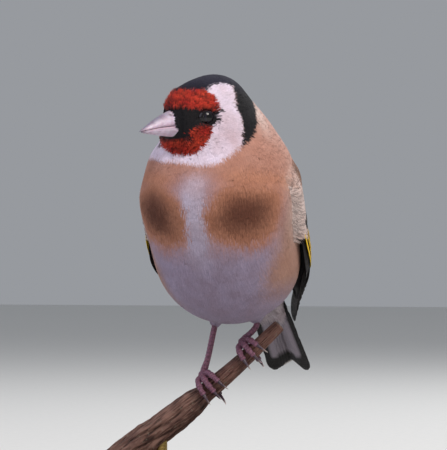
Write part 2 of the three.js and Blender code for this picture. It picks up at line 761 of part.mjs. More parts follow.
/** Adds a solid to the model as a named mesh. */
function show(name, made, look, group = bird) {
  const [color, roughness] = COLOURS[look];
  const mesh = new THREE.Mesh(
    geometryOf(made),
    new THREE.MeshStandardMaterial({ color, roughness, metalness: look === "rod" ? 1 : 0 }),
  );
  mesh.name = name;
  group.add(mesh);
}

show("head", headSolid(), "face");
show("neck", neckSolid(), "neck");
show("bill_upper", carve(mandible(true, 0), SIDES.map(({ side }) => nostril(side))), "bill");
show("bill_lower", mandible(false, 0), "bill");
for (const { name, side } of SIDES) show("eye_" + name, eye(side, 0), "eye");

const torsoGrown = torso(GAP + 0.06, 8);
const trunk = carve(torso(0, 8), [before(NECK_CUT, GAP / 2), past(TAIL_CUT, -GAP / 2)]);
show("torso", largest(trunk), "torso");

const neckGrown = skin(
  (p) => Math.max(bodyField(p) - GAP, -beyond(HEAD_CUT, p) - TRIM, beyond(NECK_CUT, p) - TRIM),
  V(-0.5, -5, 18),
  8,
);
const leftWing = wingSolid([torsoGrown, neckGrown]);
show("wing_left", leftWing, "wing");
show("wing_right", leftWing.mirror([1, 0, 0]), "wing");
show("tail", tailSolid(), "tail");

const perchGrown = perch(GAP, 28, 10);
for (const leg of LEGS) {
  const { bare, claws } = foot(leg);
  show("thigh_" + leg.name, largest(carve(thigh(leg), [torsoGrown, shankGrown(leg)])), "neck");
  show("foot_" + leg.name, largest(carve(bare, [perchGrown, torsoGrown])), "leg");
  claws.forEach((line, k) => {
    show(`claw_${leg.name}_${k + 1}`, largest(carve(claw(line, CLAW_RADIUS), [perchGrown])), "claw");
  });
}

/** The space that a leg's bare shank takes where it leaves its cuff. */
function shankGrown(leg) {
  const along = (share) => leg.knee.clone().lerp(leg.ankle, share);
  const line = curveOf([along(-0.6), along(0), along(0.5), along(1)]);
  return tube(line, 8, 8, () => TARSUS_RADIUS + GAP + 0.1);
}

const rodAt = PERCH.getPointAt(ROD_SHARE).add(BODY_AT);
const rodFoot = V(rodAt.x, rodAt.y, BASE_HEIGHT - ROD_SINK);
const rodHeight = rodAt.z - 0.5 - rodFoot.z;
const socket = bar(V(rodAt.x, rodAt.y, rodFoot.z - GAP), ROD_RADIUS + GAP, rodHeight + 2 * GAP);
const perchHole = bar(rodFoot.clone().sub(BODY_AT), ROD_RADIUS + GAP, rodHeight + GAP);
show("perch", largest(carve(perch(0, 28, 10), [perchHole])), "perch");
show("stand_rod", bar(rodFoot, ROD_RADIUS, rodHeight), "rod", whole);
show("stand_base", largest(carve(standBase(), [socket])), "base", whole);

export default whole;
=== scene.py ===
"""A European goldfinch at life size on a cut length of branch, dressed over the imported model.

Lengths are millimetres in the bird's own frame until metres() places them in the model. The frame's origin is
the middle of the breast, the bird faces -Y and its left side is +X.
"""
import logging
import math
from collections.abc import Callable
from dataclasses import dataclass
from enum import Enum
from itertools import product

import bpy
import numpy as np
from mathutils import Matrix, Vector
from mathutils.kdtree import KDTree


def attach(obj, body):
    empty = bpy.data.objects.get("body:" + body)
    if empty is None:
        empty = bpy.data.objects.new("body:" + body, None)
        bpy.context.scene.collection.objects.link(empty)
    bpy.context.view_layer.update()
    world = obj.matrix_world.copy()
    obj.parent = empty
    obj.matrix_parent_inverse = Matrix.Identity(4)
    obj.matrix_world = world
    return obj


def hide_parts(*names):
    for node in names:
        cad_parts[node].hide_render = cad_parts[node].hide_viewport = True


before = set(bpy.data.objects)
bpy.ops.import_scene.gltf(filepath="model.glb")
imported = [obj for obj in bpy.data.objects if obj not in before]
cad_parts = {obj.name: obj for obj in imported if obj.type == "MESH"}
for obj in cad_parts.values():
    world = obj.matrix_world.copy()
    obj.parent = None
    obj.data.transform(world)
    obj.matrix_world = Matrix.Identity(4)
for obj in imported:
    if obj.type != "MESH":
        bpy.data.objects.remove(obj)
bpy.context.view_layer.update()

log = logging.getLogger("goldfinch")
Array = np.ndarray
Color = tuple[float, float, float, float]
Tree = bpy.types.NodeTree
Node = bpy.types.ShaderNode
Socket = bpy.types.NodeSocket
Material = bpy.types.Material
Thing = bpy.types.Object
Random = np.random.Generator

MM = 0.001
BODY_AT = np.array([1.0, -9.0, 78.0])
BASE_HEIGHT = 8.0
GAP = 0.3
IMAGE = (447, 450)


# Measures and small maths


def metres(points: Array) -> Array:
    """Places points of the bird's frame in the model, in metres."""
    return (np.asarray(points, float) + BODY_AT) * MM


def mix(a: Array | float, b: Array | float, share: Array | float) -> Array | float:
    """The value a share of the way from a to b."""
    return a + (b - a) * share


def smooth(value: Array | float, low: Array | float, high: Array | float) -> Array:
    """A soft step from 0 at low to 1 at high, also where high is the lower one."""
    share = np.clip((np.asarray(value, float) - low) / (high - low), 0, 1)
    return share * share * (3 - 2 * share)


def bell(value: Array | float, middle: float, width: float) -> Array:
    """A soft bump of height 1 round a middle."""
    return np.exp(-(((np.asarray(value, float) - middle) / width) ** 2))


def unit(vectors: Array) -> Array:
    """Vectors at length 1."""
    return vectors / np.maximum(np.linalg.norm(vectors, axis=-1, keepdims=True), 1e-9)


def dot(a: Array, b: Array) -> Array:
    """The dot product over the last axis."""
    return (a * b).sum(-1)


def spin(axis: str, degrees: float) -> Array:
    """The matrix that turns about one axis.

    Args:
        axis: "x" or "z".
        degrees: The angle.

    Returns:
        A 3x3 matrix for column vectors.
    """
    c, s = math.cos(math.radians(degrees)), math.sin(math.radians(degrees))
    if axis == "x":
        return np.array([[1, 0, 0], [0, c, -s], [0, s, c]])
    return np.array([[c, -s, 0], [s, c, 0], [0, 0, 1]])


def wobble(points: Array, size: float, seed: float) -> Array:
    """A cheap smooth noise from -1 to 1 over space.

    Args:
        points: Where, in mm.
        size: Width of a patch of it, in mm.
        seed: Any number; another one gives another pattern.

    Returns:
        One value for each point.
    """
    x, y, z = (points / size + seed).T
    return (np.sin(1.7 * x + 1.3 * np.sin(1.1 * y + seed)) + np.sin(1.9 * y + 1.2 * np.sin(1.3 * z - seed))
            + np.sin(2.1 * z + 1.1 * np.sin(1.2 * x + 2 * seed))) / 3


class Curve:
    """A smooth line through points, the same one that the solids follow."""

    def __init__(self, points: list) -> None:
        """Takes the points and measures the line.

        Args:
            points: Three or more points, in order.
        """
        self.points = np.asarray(points, float)
        shares = np.linspace(0, 1, 201)
        steps = np.linalg.norm(np.diff(self.at(shares), axis=0), axis=1)
        self.lengths = np.concatenate([[0], np.cumsum(steps)])
        self.shares = shares

    @property
    def length(self) -> float:
        """The line's whole length."""
        return float(self.lengths[-1])

    def at(self, share: Array | float) -> Array:
        """Points by the share of the control points passed.

        Args:
            share: Shares of the control points passed, from 0 to 1.

        Returns:
            The points of a centripetal spline.
        """
        share = np.clip(np.asarray(share, float), 0, 1)
        p = self.points
        last = len(p) - 1
        first = np.minimum(np.floor(share * last).astype(int), last - 1)
        w = (share * last - first)[..., None]
        ahead = np.concatenate([p, [2 * p[-1] - p[-2]]])
        behind = np.concatenate([[2 * p[0] - p[1]], p])
        a, b, c, d = behind[first], p[first], p[first + 1], ahead[first + 2]
        span = [np.maximum(((n - m) ** 2).sum(-1, keepdims=True) ** 0.25, 1e-4)
                for m, n in ((a, b), (b, c), (c, d))]
        start = ((b - a) / span[0] - (c - a) / (span[0] + span[1]) + (c - b) / span[1]) * span[1]
        end = ((c - b) / span[1] - (d - b) / (span[1] + span[2]) + (d - c) / span[2]) * span[1]
        return b + w * (start + w * (3 * (c - b) - 2 * start - end + w * (2 * (b - c) + start + end)))

    def slope(self, share: Array | float) -> Array:
        """Unit directions by the share of the control points passed."""
        share = np.asarray(share, float)
        return unit(self.at(np.minimum(share + 1e-4, 1)) - self.at(np.maximum(share - 1e-4, 0)))

    def even(self, share: Array | float) -> Array:
        """The inner share for each share of the length."""
        return np.interp(np.asarray(share, float) * self.length, self.lengths, self.shares)


# Finishes


def linear(code: str) -> tuple[float, float, float]:
    """Turns an sRGB hex value to linear light.

    Args:
        code: Such as "#c0ffee".

    Returns:
        Red, green and blue from 0 to 1.
    """
    parts = [int(code[i:i + 2], 16) / 255 for i in (1, 3, 5)]
    return tuple(c / 12.92 if c <= 0.04045 else ((c + 0.055) / 1.055) ** 2.4 for c in parts)


def pigment(code: str) -> Array:
    """A hex value as a linear colour to reckon with."""
    return np.array(linear(code))


def rgba(code: str) -> Color:
    """A hex value as the colour of a socket."""
    return (*linear(code), 1.0)


def per_mm(width: float) -> float:
    """The scale that makes a pattern's cells a width in millimetres on a model in metres."""
    return 1000 / width


def add_node(tree: Tree, kind: str, settings: dict | None = None, links: dict | None = None) -> Node:
    """Adds a node to a material.

    Args:
        tree: The material's node tree.
        kind: The node's type, without its leading ShaderNode.
        settings: Values by property name, or by an input's name or number.
        links: Outputs that feed its inputs, by the input's name or number.

    Returns:
        The new node.
    """
    node = tree.nodes.new("ShaderNode" + kind)
    for name, value in (settings or {}).items():
        if isinstance(name, str) and name in node.bl_rna.properties:
            setattr(node, name, value)
        else:
            node.inputs[name].default_value = value
    for name, output in (links or {}).items():
        tree.links.new(output, node.inputs[name])
    return node


class Mixing(Enum):
    """How a second colour joins a first."""

    OVER = "MIX"
    TIMES = "MULTIPLY"


@dataclass(frozen=True)
class Finish:
    """What every finish has: a name, and the numbers that are the same all over it."""

    name: str
    roughness: float = 0.6
    ior: float = 1.5
    metallic: float = 0.0
    sheen: float = 0.0
    coat: float = 0.0
    coat_roughness: float = 0.1
    subsurface: float = 0.0

    def begin(self) -> tuple[Material, Tree, Node]:
        """Makes the bare material.

        Returns:
            The material, its node tree and its surface node.
        """
        material = bpy.data.materials.new(self.name)
        material.use_nodes = True
        tree = material.node_tree
        tree.nodes.clear()
        surface = add_node(tree, "BsdfPrincipled", {
            "Roughness": self.roughness, "IOR": self.ior, "Metallic": self.metallic,
            "Sheen Weight": self.sheen, "Sheen Roughness": 0.45,
            "Coat Weight": self.coat, "Coat Roughness": self.coat_roughness,
            "Subsurface Weight": self.subsurface, "Subsurface Scale": 0.0006,
        })
        add_node(tree, "OutputMaterial", links={"Surface": surface.outputs[0]})
        return material, tree, surface

    def grey(self, tree: Tree, value: Socket) -> Socket:
        """A value as a colour."""
        return add_node(tree, "CombineColor", links={0: value, 1: value, 2: value}).outputs[0]

    def marking(self, tree: Tree) -> Socket:
        """The colour that comes with the mesh."""
        return add_node(tree, "Attribute", {"attribute_name": "marking"}).outputs["Color"]

    def wear(self, tree: Tree, surface: Node, colour: Socket, pattern: Socket, low: float,
             high: float) -> None:
        """Gives the surface its colour, and a roughness that a pattern moves round its own."""
        tree.links.new(colour, surface.inputs["Base Color"])
        rough = self.spread(tree, pattern, 0, 1, self.roughness + low, self.roughness + high)
        tree.links.new(rough, surface.inputs["Roughness"])

    def blend(self, tree: Tree, how: Mixing, share: float | Socket, first: Color | Socket,
              second: Color | Socket) -> Socket:
        """Joins two colours.

        Args:
            tree: The node tree.
            how: Over or times.
            share: A number, or the output that gives it.
            first: A colour, or the output that gives it.
            second: A colour, or the output that gives it.

        Returns:
            The joined colour's output.
        """
        given = {0: share, 6: first, 7: second}
        fixed = {k: v for k, v in given.items() if isinstance(v, (tuple, float, int))}
        fed = {k: v for k, v in given.items() if k not in fixed}
        node = add_node(tree, "Mix", {"data_type": "RGBA", "blend_type": how.value, **fixed}, fed)
        return node.outputs[2]

    def place(self, tree: Tree, stretch: tuple = (1.0, 1.0, 1.0), uv: str | None = None) -> Socket:
        """Coordinates in metres of the model, or a UV map's, stretched along each axis."""
        if uv:
            source = add_node(tree, "UVMap", {"uv_map": uv}).outputs[0]
        else:
            source = add_node(tree, "TexCoord").outputs["Object"]
        return add_node(tree, "Mapping", {"Scale": stretch}, {"Vector": source}).outputs[0]

    def noise(self, tree: Tree, width: float, detail: float = 3.0, where: Socket | None = None,
              low: float = 0.35, high: float = 0.65) -> Socket:
        """Soft irregular patches.

        Args:
            tree: The node tree.
            width: Width of a patch in mm.
            detail: How much finer grain it holds.
            where: The coordinates' output, or none for the model's.
            low: The noise value that becomes 0.
            high: The noise value that becomes 1.

        Returns:
            An output from 0 to 1.
        """
        vector = where or add_node(tree, "TexCoord").outputs["Object"]
        made = add_node(tree, "TexNoise", {"Scale": per_mm(width), "Detail": detail}, {"Vector": vector})
        return self.spread(tree, made.outputs[0], low, high)

    def spread(self, tree: Tree, value: Socket, low: float, high: float, to_low: float = 0.0,
               to_high: float = 1.0) -> Socket:
        """Maps a range of values to another."""
        made = add_node(tree, "MapRange", {
            "From Min": low, "From Max": high, "To Min": to_low, "To Max": to_high,
        }, {"Value": value})
        return made.outputs[0]

    def relief(self, tree: Tree, surface: Node, height: Socket, depth: float) -> None:
        """Raises the surface by a height pattern, its depth in mm."""
        made = add_node(tree, "Bump", {"Strength": 1.0, "Distance": depth * MM}, {"Height": height})
        tree.links.new(made.outputs[0], surface.inputs["Normal"])


# The bird's form: the rounded masses of the solids, in numbers


HEAD_TURN = 32.0
HEAD_AT = np.array([-5.3, -12.8, 30.5])
TURNED = spin("z", -HEAD_TURN)
LEANING = spin("x", 32)
LEVEL = np.eye(3)
FORWARD = TURNED @ np.array([0.0, -1.0, 0.0])
LEFTWARD = TURNED @ np.array([1.0, 0.0, 0.0])
UPWARD = np.array([0.0, 0.0, 1.0])


def head_point(forward: Array | float, left: Array | float, up: Array | float) -> Array:
    """Places a point of the head, given along the bill, to the bird's left and up, in the bird's frame."""
    f, l, h = (np.asarray(v, float)[..., None] for v in (forward, left, up))
    return HEAD_AT + f * FORWARD + l * LEFTWARD + h * UPWARD


def head_place(points: Array) -> tuple[Array, Array, Array]:
    """How far points lie forward, left and up of the head's middle."""
    off = points - HEAD_AT
    return off @ FORWARD, off @ LEFTWARD, off @ UPWARD


class Form:
    """The body of head, neck and torso as masses that flow into each other, with the feathered leg cuffs."""

    flow = 6.0
    cuff_flow = 2.2
    cuff_rise = 3.0
    cuff_length = 7.0
    cuff_radii = (3.5, 1.3)
    probe = 0.05
    sockets = [head_point(1.1, side * 8.6, 0.0) for side in (-1, 1)]
    socket_depth = 1.5
    socket_width = 3.4
    masses = [
        ((0.1, 0, 0.4), (20.3, 18.8, 26.8), LEANING),
        ((-0.2, -4.6, 9), (20.2, 15.6, 12.5), LEVEL),
        ((0.6, 5.5, -10), (17.6, 15.4, 13.6), LEVEL),
        ((0.3, 15.5, -10), (12.6, 12, 10.5), LEANING),
        ((0.4, 22, -8.6), (7.6, 9.5, 7), LEANING),
        ((1, 3, 16.4), (17, 11, 10.4), LEANING),
        ((-0.2, -3.2, 18), (18, 14.6, 10.4), LEVEL),
        ((2.2, 0.5, 23.6), (11.2, 10.2, 12.2), LEVEL),
        (head_point(-6.8, 0, -0.2), (9, 10.8, 10.7), TURNED),
        (head_point(0.5, 0, -1), (5.3, 5.9, 7.3), TURNED),
        (head_point(-6.6, 4.2, -4.8), (5.9, 7.4, 7.2), TURNED),
        (head_point(-6.6, -4.2, -4.8), (5.9, 7.4, 7.2), TURNED),
    ]
    cuffs = [((6.4, 12.6, -20.5), (6.2, 10.9, -26.2)), ((-4.4, 10.5, -21.5), (-6.6, 7.4, -35.4))]

    def body(self, points: Array) -> Array:
        """Distance outside the body, negative inside.

        Args:
            points: Where, in mm in the bird's frame.

        Returns:
            The distance in mm, least of all masses, each flowing into the next.
        """
        least = None
        for middle, half, turned in self.masses:
            near = (points - np.asarray(middle, float)) @ turned / np.asarray(half, float)
            ratio = np.linalg.norm(near, axis=-1)
            slope = np.linalg.norm(near / np.asarray(half, float), axis=-1)
            here = ratio * (ratio - 1) / np.maximum(slope, 1e-9)
            if least is None:
                least = here
                continue
            share = np.maximum(self.flow - np.abs(least - here), 0) / self.flow
            least = np.minimum(least, here) - share * share * self.flow / 4
        for socket in self.sockets:
            least = least + self.socket_depth * np.exp(-((points - socket) ** 2).sum(-1)
                                                       / self.socket_width ** 2)
        return least

    def flesh(self, points: Array) -> Array:
        """Distance outside the body with its leg cuffs.

        Args:
            points: Where, in mm in the bird's frame.

        Returns:
            The distance in mm.
        """
        least = self.body(points)
        for knee, ankle in self.cuffs:
            knee, ankle = np.array(knee), np.array(ankle)
            run = unit(ankle - knee)
            start = knee - self.cuff_rise * run
            along = np.clip(dot(points - start, run), 0, self.cuff_length)
            nearest = start + along[..., None] * run
            radius = mix(*self.cuff_radii, (along / self.cuff_length) ** 0.8)
            here = np.linalg.norm(points - nearest, axis=-1) - radius
            share = np.maximum(self.cuff_flow - np.abs(least - here), 0) / self.cuff_flow
            least = np.minimum(least, here) - share * share * self.cuff_flow / 4
        return least

    def outward(self, points: Array, cuffs: bool = True) -> Array:
        """The directions in which the distance grows, with the leg cuffs or without."""
        distance = self.flesh if cuffs else self.body
        here = distance(points)
        slopes = [distance(points + self.probe * axis) - here for axis in np.eye(3)]
        return unit(np.stack(slopes, axis=-1))

    def settle(self, points: Array, level: Array | float, rounds: int = 2) -> Array:
        """Moves points straight in or out to a level.

        Args:
            points: The points.
            level: Height over the outer surface, in mm, negative inside.
            rounds: How often the move is repeated.

        Returns:
            The moved points.
        """
        for _ in range(rounds):
            points = points - (self.flesh(points) - level)[..., None] * self.outward(points)
        return points


FORM = Form()
BILL_BASE = head_point(3.4, 0.0, -2.6)
TAIL_SLOPE = 44.5
TAIL_CUT = np.array([0.9, 27.5, -9.5])
TAIL_RUN = np.array([0.0, math.cos(math.radians(TAIL_SLOPE)), -math.sin(math.radians(TAIL_SLOPE))])
TAIL_UP = np.array([0.0, math.sin(math.radians(TAIL_SLOPE)), math.cos(math.radians(TAIL_SLOPE))])


def from_bill(points: Array) -> Array:
    """Distance from the bill's base, which sets how long the feathers are."""
    return np.linalg.norm(points - BILL_BASE, axis=-1)


def coat_depth(points: Array) -> Array:
    """Depth of the coat over the skin."""
    return np.interp(from_bill(points), (3, 8, 14, 22, 34), (0.35, 0.45, 0.6, 0.8, 1.0))


def crest(points: Array) -> Array:
    """How far the hind crown's feathers stand out."""
    f, _, h = head_place(points)
    return 1.5 * bell(f, -12.0, 6.0) * bell(h, 8.5, 5.0)


def lie(points: Array, out: Array) -> Array:
    """The way the coat lies: from the bill over the head, and down the body to the tail.

    Args:
        points: Where.
        out: Outward directions there.

    Returns:
        Unit directions along the surface.
    """
    radial = unit(points - BILL_BASE)
    for side in (-1, 1):
        eye = head_point(-0.3, side * 7.6, -0.4)
        away = points - eye
        near = np.exp(-((away ** 2).sum(-1)) / 9.0)
        radial = radial + 1.1 * near[..., None] * unit(away)
    low = 1 - smooth(points[..., 2], -20, 4)
    back = smooth(points[..., 1], 2, 16)
    down = np.stack([
        -0.006 * points[..., 0] * (1 - back),
        mix(0.3, 1.5, low) + 0.5 * back,
        -1 + 0.15 * low,
    ], axis=-1)
    rear = smooth(points[..., 1], 14, 22)[..., None]
    down = mix(unit(down), TAIL_RUN, rear)
    away = np.linalg.norm(points - head_point(-5, 0, -2), axis=-1)
    head = (1 - smooth(away, 11.5, 20))[..., None]
    way = mix(unit(down), unit(radial), head)
    return unit(way - dot(way, out)[..., None] * out)


# The markings, the same for skin and coat


@dataclass(frozen=True)
class Markings:
    """Where the colours of a goldfinch meet, and the colours, some of them with painted light in them.

    The outlines on the head are given as (how far forward, how far up) pairs, as seen from the side.
    """

    black: str = "#0c0a10"
    # a bluish black, painted sheen for the top of the glossy black cap
    cap_painted_sheen: str = "#1c1a38"
    red: str = "#931b16"
    orange: str = "#c5452a"
    white: str = "#e6d8ea"
    # a pinkish grey, painted shade for the middle of the white cheek
    cheek_shade: str = "#c9b0bb"
    cream: str = "#e6d4cf"
    collar: str = "#b98a7c"
    patch: str = "#5a3427"
    buff: str = "#b67e64"
    flank: str = "#a67c66"
    # belly: the whitish belly given a grey lilac, as painted shade for the underside that the light from
    # above leaves dim; the body's other colours are laid over it
    belly: str = "#978ba2"
    midline: str = "#c4b8ca"
    nape: str = "#c8a39a"
    mantle: str = "#80604f"
    rump: str = "#d9cbbd"
    vent: str = "#d0c4cc"

    mask_middle: tuple[float, float] = (2.2, 2.1)
    mask_back: float = 5.4
    mask_top: float = 5.3
    brow: tuple = ((-3.0, 1.5), (0.1, 1.9), (3.8, 2.0), (6.2, 2.5), (7.5, 2.6))
    gape: tuple = ((-0.3, -2.9), (1.1, -2.9), (3.0, -3.3), (4.3, -4.4), (5.1, -6.3), (6.4, -6.5))
    chin: tuple = ((-0.6, -2.8), (0.1, -5.0), (1.5, -8.1), (3.1, -9.9), (4.8, -10.9), (6.5, -10.4))
    cap_edge: tuple = ((-9.9, 8.4), (-7.1, 8.9), (-4.3, 8.6), (-1.3, 6.9), (3.0, 7.0), (6.0, 6.0))
    cheek_back: tuple = ((-11.5, -4.6), (-8.4, -6.7), (-3.5, -9.2), (-0.3, -9.4), (1.9, -8.5), (4.6, -9.0),
                         (8.4, -9.9))
    crescent_back: tuple = ((-8.4, -7.0), (-5.7, -11.7), (-1.9, -15.2), (0.8, -16.3), (5.0, -18.2),
                            (8.0, -17.6))
    white_foot: tuple = ((-9.0, -7.0), (-6.0, -9.2), (-2.5, -11.6), (0.5, -13.6), (3.8, -14.2), (7.0, -12.9))

    def edge(self, outline: tuple, value: Array) -> Array:
        """The second number of an outline where its first is a value."""
        first, second = np.array(outline).T
        return np.interp(value, first, second)

    def paint(self, under: Array, code: str, share: Array) -> Array:
        """Lays a colour over others by a share at each point."""
        return mix(under, pigment(code), np.clip(share, 0, 1)[..., None])

    def body(self, points: Array) -> Array:
        """Colours of the neck and torso.

        Args:
            points: Places on the surface.

        Returns:
            Linear red, green and blue.
        """
        x, y, z = points.T
        x = x + 0.5
        uneven = wobble(points, 5.0, 3.0)
        round_ = np.degrees(np.arctan2(np.abs(x), -(y - 2.0))) + 3 * uneven
        tall = z + 1.3 * wobble(points, 6.0, 8.0)
        # the body starts in the belly's grey lilac, which is painted shade
        colour = np.broadcast_to(pigment(self.belly), points.shape).copy()
        colour = self.paint(colour, self.midline, 0.8 * bell(round_, 1, 9) * smooth(tall, -16, 3))
        flank = smooth(round_, 50, 74) * smooth(tall, -23, -12)
        colour = self.paint(colour, self.flank, 0.9 * flank)
        front = smooth(tall, 7, 14)
        colour = self.paint(colour, self.buff,
                            front * (1 - 0.75 * bell(round_, 0, 14) * smooth(tall, 19, 13)))
        collar = smooth(tall, 12.5, 17) * smooth(round_, 118, 90)
        colour = self.paint(colour, self.collar, 0.8 * collar * (1 - 0.5 * bell(round_, 0, 20)))
        drop = tall - 3.5 - 0.06 * (round_ - 34)
        spot = 1.12 * bell(round_, 33, 28) * bell(drop, 0, 8.5) * smooth(round_, 1, 9)
        spot = spot + 0.12 * wobble(points, 3.2, 1.0) * smooth(spot, 0.1, 0.4)
        colour = self.paint(colour, self.buff, smooth(spot, 0.04, 0.55))
        colour = self.paint(colour, self.patch, 0.97 * smooth(spot, 0.25, 1.1))
        pale = bell(round_, 84, 13) * bell(tall, 8, 8) * smooth(y, 10, 0)
        colour = self.paint(colour, self.cream, 0.85 * pale)
        back = smooth(round_, 104, 128) * smooth(tall, -12, -2)
        colour = self.paint(colour, self.mantle, back)
        nape = smooth(round_, 48, 100) * smooth(tall, 18, 25)
        colour = self.paint(colour, self.nape, nape)
        rump = smooth(y, 14, 19) * smooth(tall + 0.6 * y, -3, 4) * smooth(tall, 4, -2)
        colour = self.paint(colour, self.rump, rump)
        under = smooth(y, 10, 17) * smooth(tall, -9, -14)
        return self.paint(colour, self.vent, under)

    def colours(self, points: Array, loose: Array | float = 0.0) -> Array:
        """Colours of skin or coat.

        Args:
            points: Places on or over the surface.
            loose: How far each place's colour may come from a neighbour, in mm, for ragged edges.

        Returns:
            Linear red, green and blue.
        """
        points = points + loose
        colour = self.body(points)
        f, l, h = head_place(points)
        on_head = smooth(f, -22, -19) * smooth(h, -17, -15)
        soft = 0.3
        foot = self.edge(self.white_foot, f) + 0.25 * np.maximum(-l - 3, 0)
        cheek_line = np.interp(h, [p[0] for p in self.cheek_back], [p[1] for p in self.cheek_back])
        outer_line = np.interp(h, [p[0] for p in self.crescent_back], [p[1] for p in self.crescent_back])
        white = smooth(h - foot, -soft, 1.2) * smooth(f - cheek_line, -soft, soft)
        colour = self.paint(colour, self.white, white * on_head)
        # painted shade: a pinkish grey laid over the middle of the white cheek, which the light leaves dimmer
        # than its top
        colour = self.paint(colour, self.cheek_shade, 0.7 * white * on_head * bell(f, -4.5, 4) * bell(h, -5.5, 5))
        cap_line = self.edge(self.cap_edge, f)
        capped = smooth(h - cap_line, -soft, soft) * smooth(f, -18, -16.5)
        crescent = (smooth(cheek_line - f, -soft, soft) * smooth(f - outer_line, -soft, soft)
                    * smooth(h, -9, -8))
        patch = bell(f, -17.3, 3.2) * bell(h, 2.0, 5.5)
        colour = self.paint(colour, self.cream, 0.85 * patch * on_head)
        dark = np.maximum(capped, crescent)
        colour = self.paint(colour, self.black, dark)
        # painted sheen: a bluish tint on the cap's top, in place of its glossy reflection
        colour = self.paint(colour, self.cap_painted_sheen, 0.55 * dark * smooth(h, 5, 10))
        upper, lower, black = self.mask(f, l, h, soft)
        colour = self.paint(colour, self.black, black)
        tone = 0.5 + 0.5 * wobble(points, 1.4, 5.0)
        red = mix(pigment(self.red), pigment(self.orange), (0.65 * tone)[..., None])
        return mix(colour, red, np.maximum(upper, lower)[..., None])

    def mask(self, f: Array, l: Array, h: Array, soft: float = 0.3) -> tuple[Array, Array, Array]:
        """The red over and under the bill and the black between them.

        Args:
            f: How far forward the places lie from the head's middle.
            l: How far to the left.
            h: How far up.
            soft: Half the width of the edges, in mm.

        Returns:
            The shares of the upper red, the lower red and the black.
        """
        middle, start = self.mask_middle
        rise = np.clip((h - start) / self.mask_top, 0, 1)
        back = middle - self.mask_back * np.maximum(1 - rise ** 3.5, 0) ** (1 / 3.5)
        brow = self.edge(self.brow, f)
        upper = (smooth(h - brow, -soft, soft) * smooth(f - back, -soft, soft)
                 * smooth(h - start, self.mask_top, self.mask_top - 0.5))
        gape = self.edge(self.gape, f)
        chin = self.edge(self.chin, f) + 0.5 * np.maximum(0, 0.6 - l) * smooth(h, -3, -6)
        lower = smooth(gape - h, -soft, soft) * smooth(h - chin, -soft, soft) * smooth(f, -1.0, -0.4)
        width = 0.42 * smooth(h, -8.6, -5.4)
        wedge = (smooth(np.abs(f - (5.35 + 0.28 * (h + 3.2))), width + 0.25, width - 0.15)
                 * smooth(h, -8.4, -7.4))
        face_back = np.interp(h, (-4.0, -2.7, -1.2, 0.3, 1.5, 2.4), (0.2, -1.2, -3.2, -2.5, -4.6, -4.6))
        under = 0.5
        lores = (smooth(h - gape, -soft - under, soft - under) * smooth(brow - h, -soft - under, soft - under)
                 * smooth(f - face_back, -soft, soft))
        under_wedge = smooth(np.abs(f - (5.35 + 0.28 * (h + 3.2))), width + 0.65, width + 0.25)
        under_wedge = under_wedge * smooth(h, -9.0, -8.0)
        return upper, lower * (1 - wedge), np.maximum(lores, under_wedge * smooth(f, 2, 3))


MARKINGS = Markings()


# Meshes


def new_object(name: str, points: Array, faces: Array, material: Material | None,
               to_metres: bool = True) -> Thing:
    """Makes an object of a mesh.

    Args:
        name: The piece's name.
        points: Its points, in mm of the bird's frame, or in metres of the model.
        faces: Rows of three or four point numbers.
        material: Its finish.
        to_metres: Whether the points still have to be placed in the model.

    Returns:
        The object, smooth shaded.
    """
    mesh = bpy.data.meshes.new(name)
    places = metres(points) if to_metres else np.asarray(points, float)
    mesh.vertices.add(len(places))
    mesh.vertices.foreach_set("co", places.astype(np.float32).ravel())
    count, corners = faces.shape
    mesh.loops.add(count * corners)
    mesh.loops.foreach_set("vertex_index", faces.astype(np.int32).ravel())
    mesh.polygons.add(count)
    mesh.polygons.foreach_set("loop_start", np.arange(0, count * corners, corners, dtype=np.int32))
    mesh.update(calc_edges=True)
    mesh.shade_smooth()
    if material:
        mesh.materials.append(material)
    made = bpy.data.objects.new(name, mesh)
    bpy.context.scene.collection.objects.link(made)
    return made


def give_colours(thing: Thing, name: str, colours: Array) -> None:
    """Stores a linear colour for each point of an object."""
    values = np.ones((len(colours), 4), np.float32)
    values[:, :3] = colours
    thing.data.attributes.new(name, "FLOAT_COLOR", "POINT").data.foreach_set("color", values.ravel())


def give_uv(thing: Thing, name: str, uv: Array) -> None:
    """Stores a UV map from one place for each point of an object."""
    corners = np.zeros(len(thing.data.loops), np.int32)
    thing.data.loops.foreach_get("vertex_index", corners)
    layer = thing.data.uv_layers.new(name=name)
    layer.data.foreach_set("uv", uv[corners].astype(np.float32).ravel())


def soften(thing: Thing, outs: Array, share: float) -> None:
    """Turns the shading normals towards the body's, as a soft coat is shaded by the form under it.

    Args:
        thing: A piece of the coat.
        outs: Outward directions of the body at its points.
        share: How far they turn.
    """
    count = len(thing.data.vertices)
    own = np.zeros(count * 3, np.float32)
    thing.data.vertices.foreach_get("normal", own)
    thing.data.normals_split_custom_set_from_vertices(unit(mix(own.reshape(-1, 3), outs, share)))


def points_of(thing: Thing) -> Array:
    """An object's points, in metres."""
    values = np.zeros(len(thing.data.vertices) * 3, np.float32)
    thing.data.vertices.foreach_get("co", values)
    return values.reshape(-1, 3).astype(float)


def outside_out(points: Array, faces: Array) -> Array:
    """Turns a closed mesh's faces so that they look outwards."""
    p = points[faces]
    room = dot(p[:, 0], np.cross(p[:, 1], p[:, 2])).sum()
    return faces if room > 0 else faces[:, ::-1]


def mirrored(points: Array, faces: Array) -> tuple[Array, Array]:
    """The same mesh on the bird's other side."""
    return points * np.array([-1, 1, 1]), faces[:, ::-1]


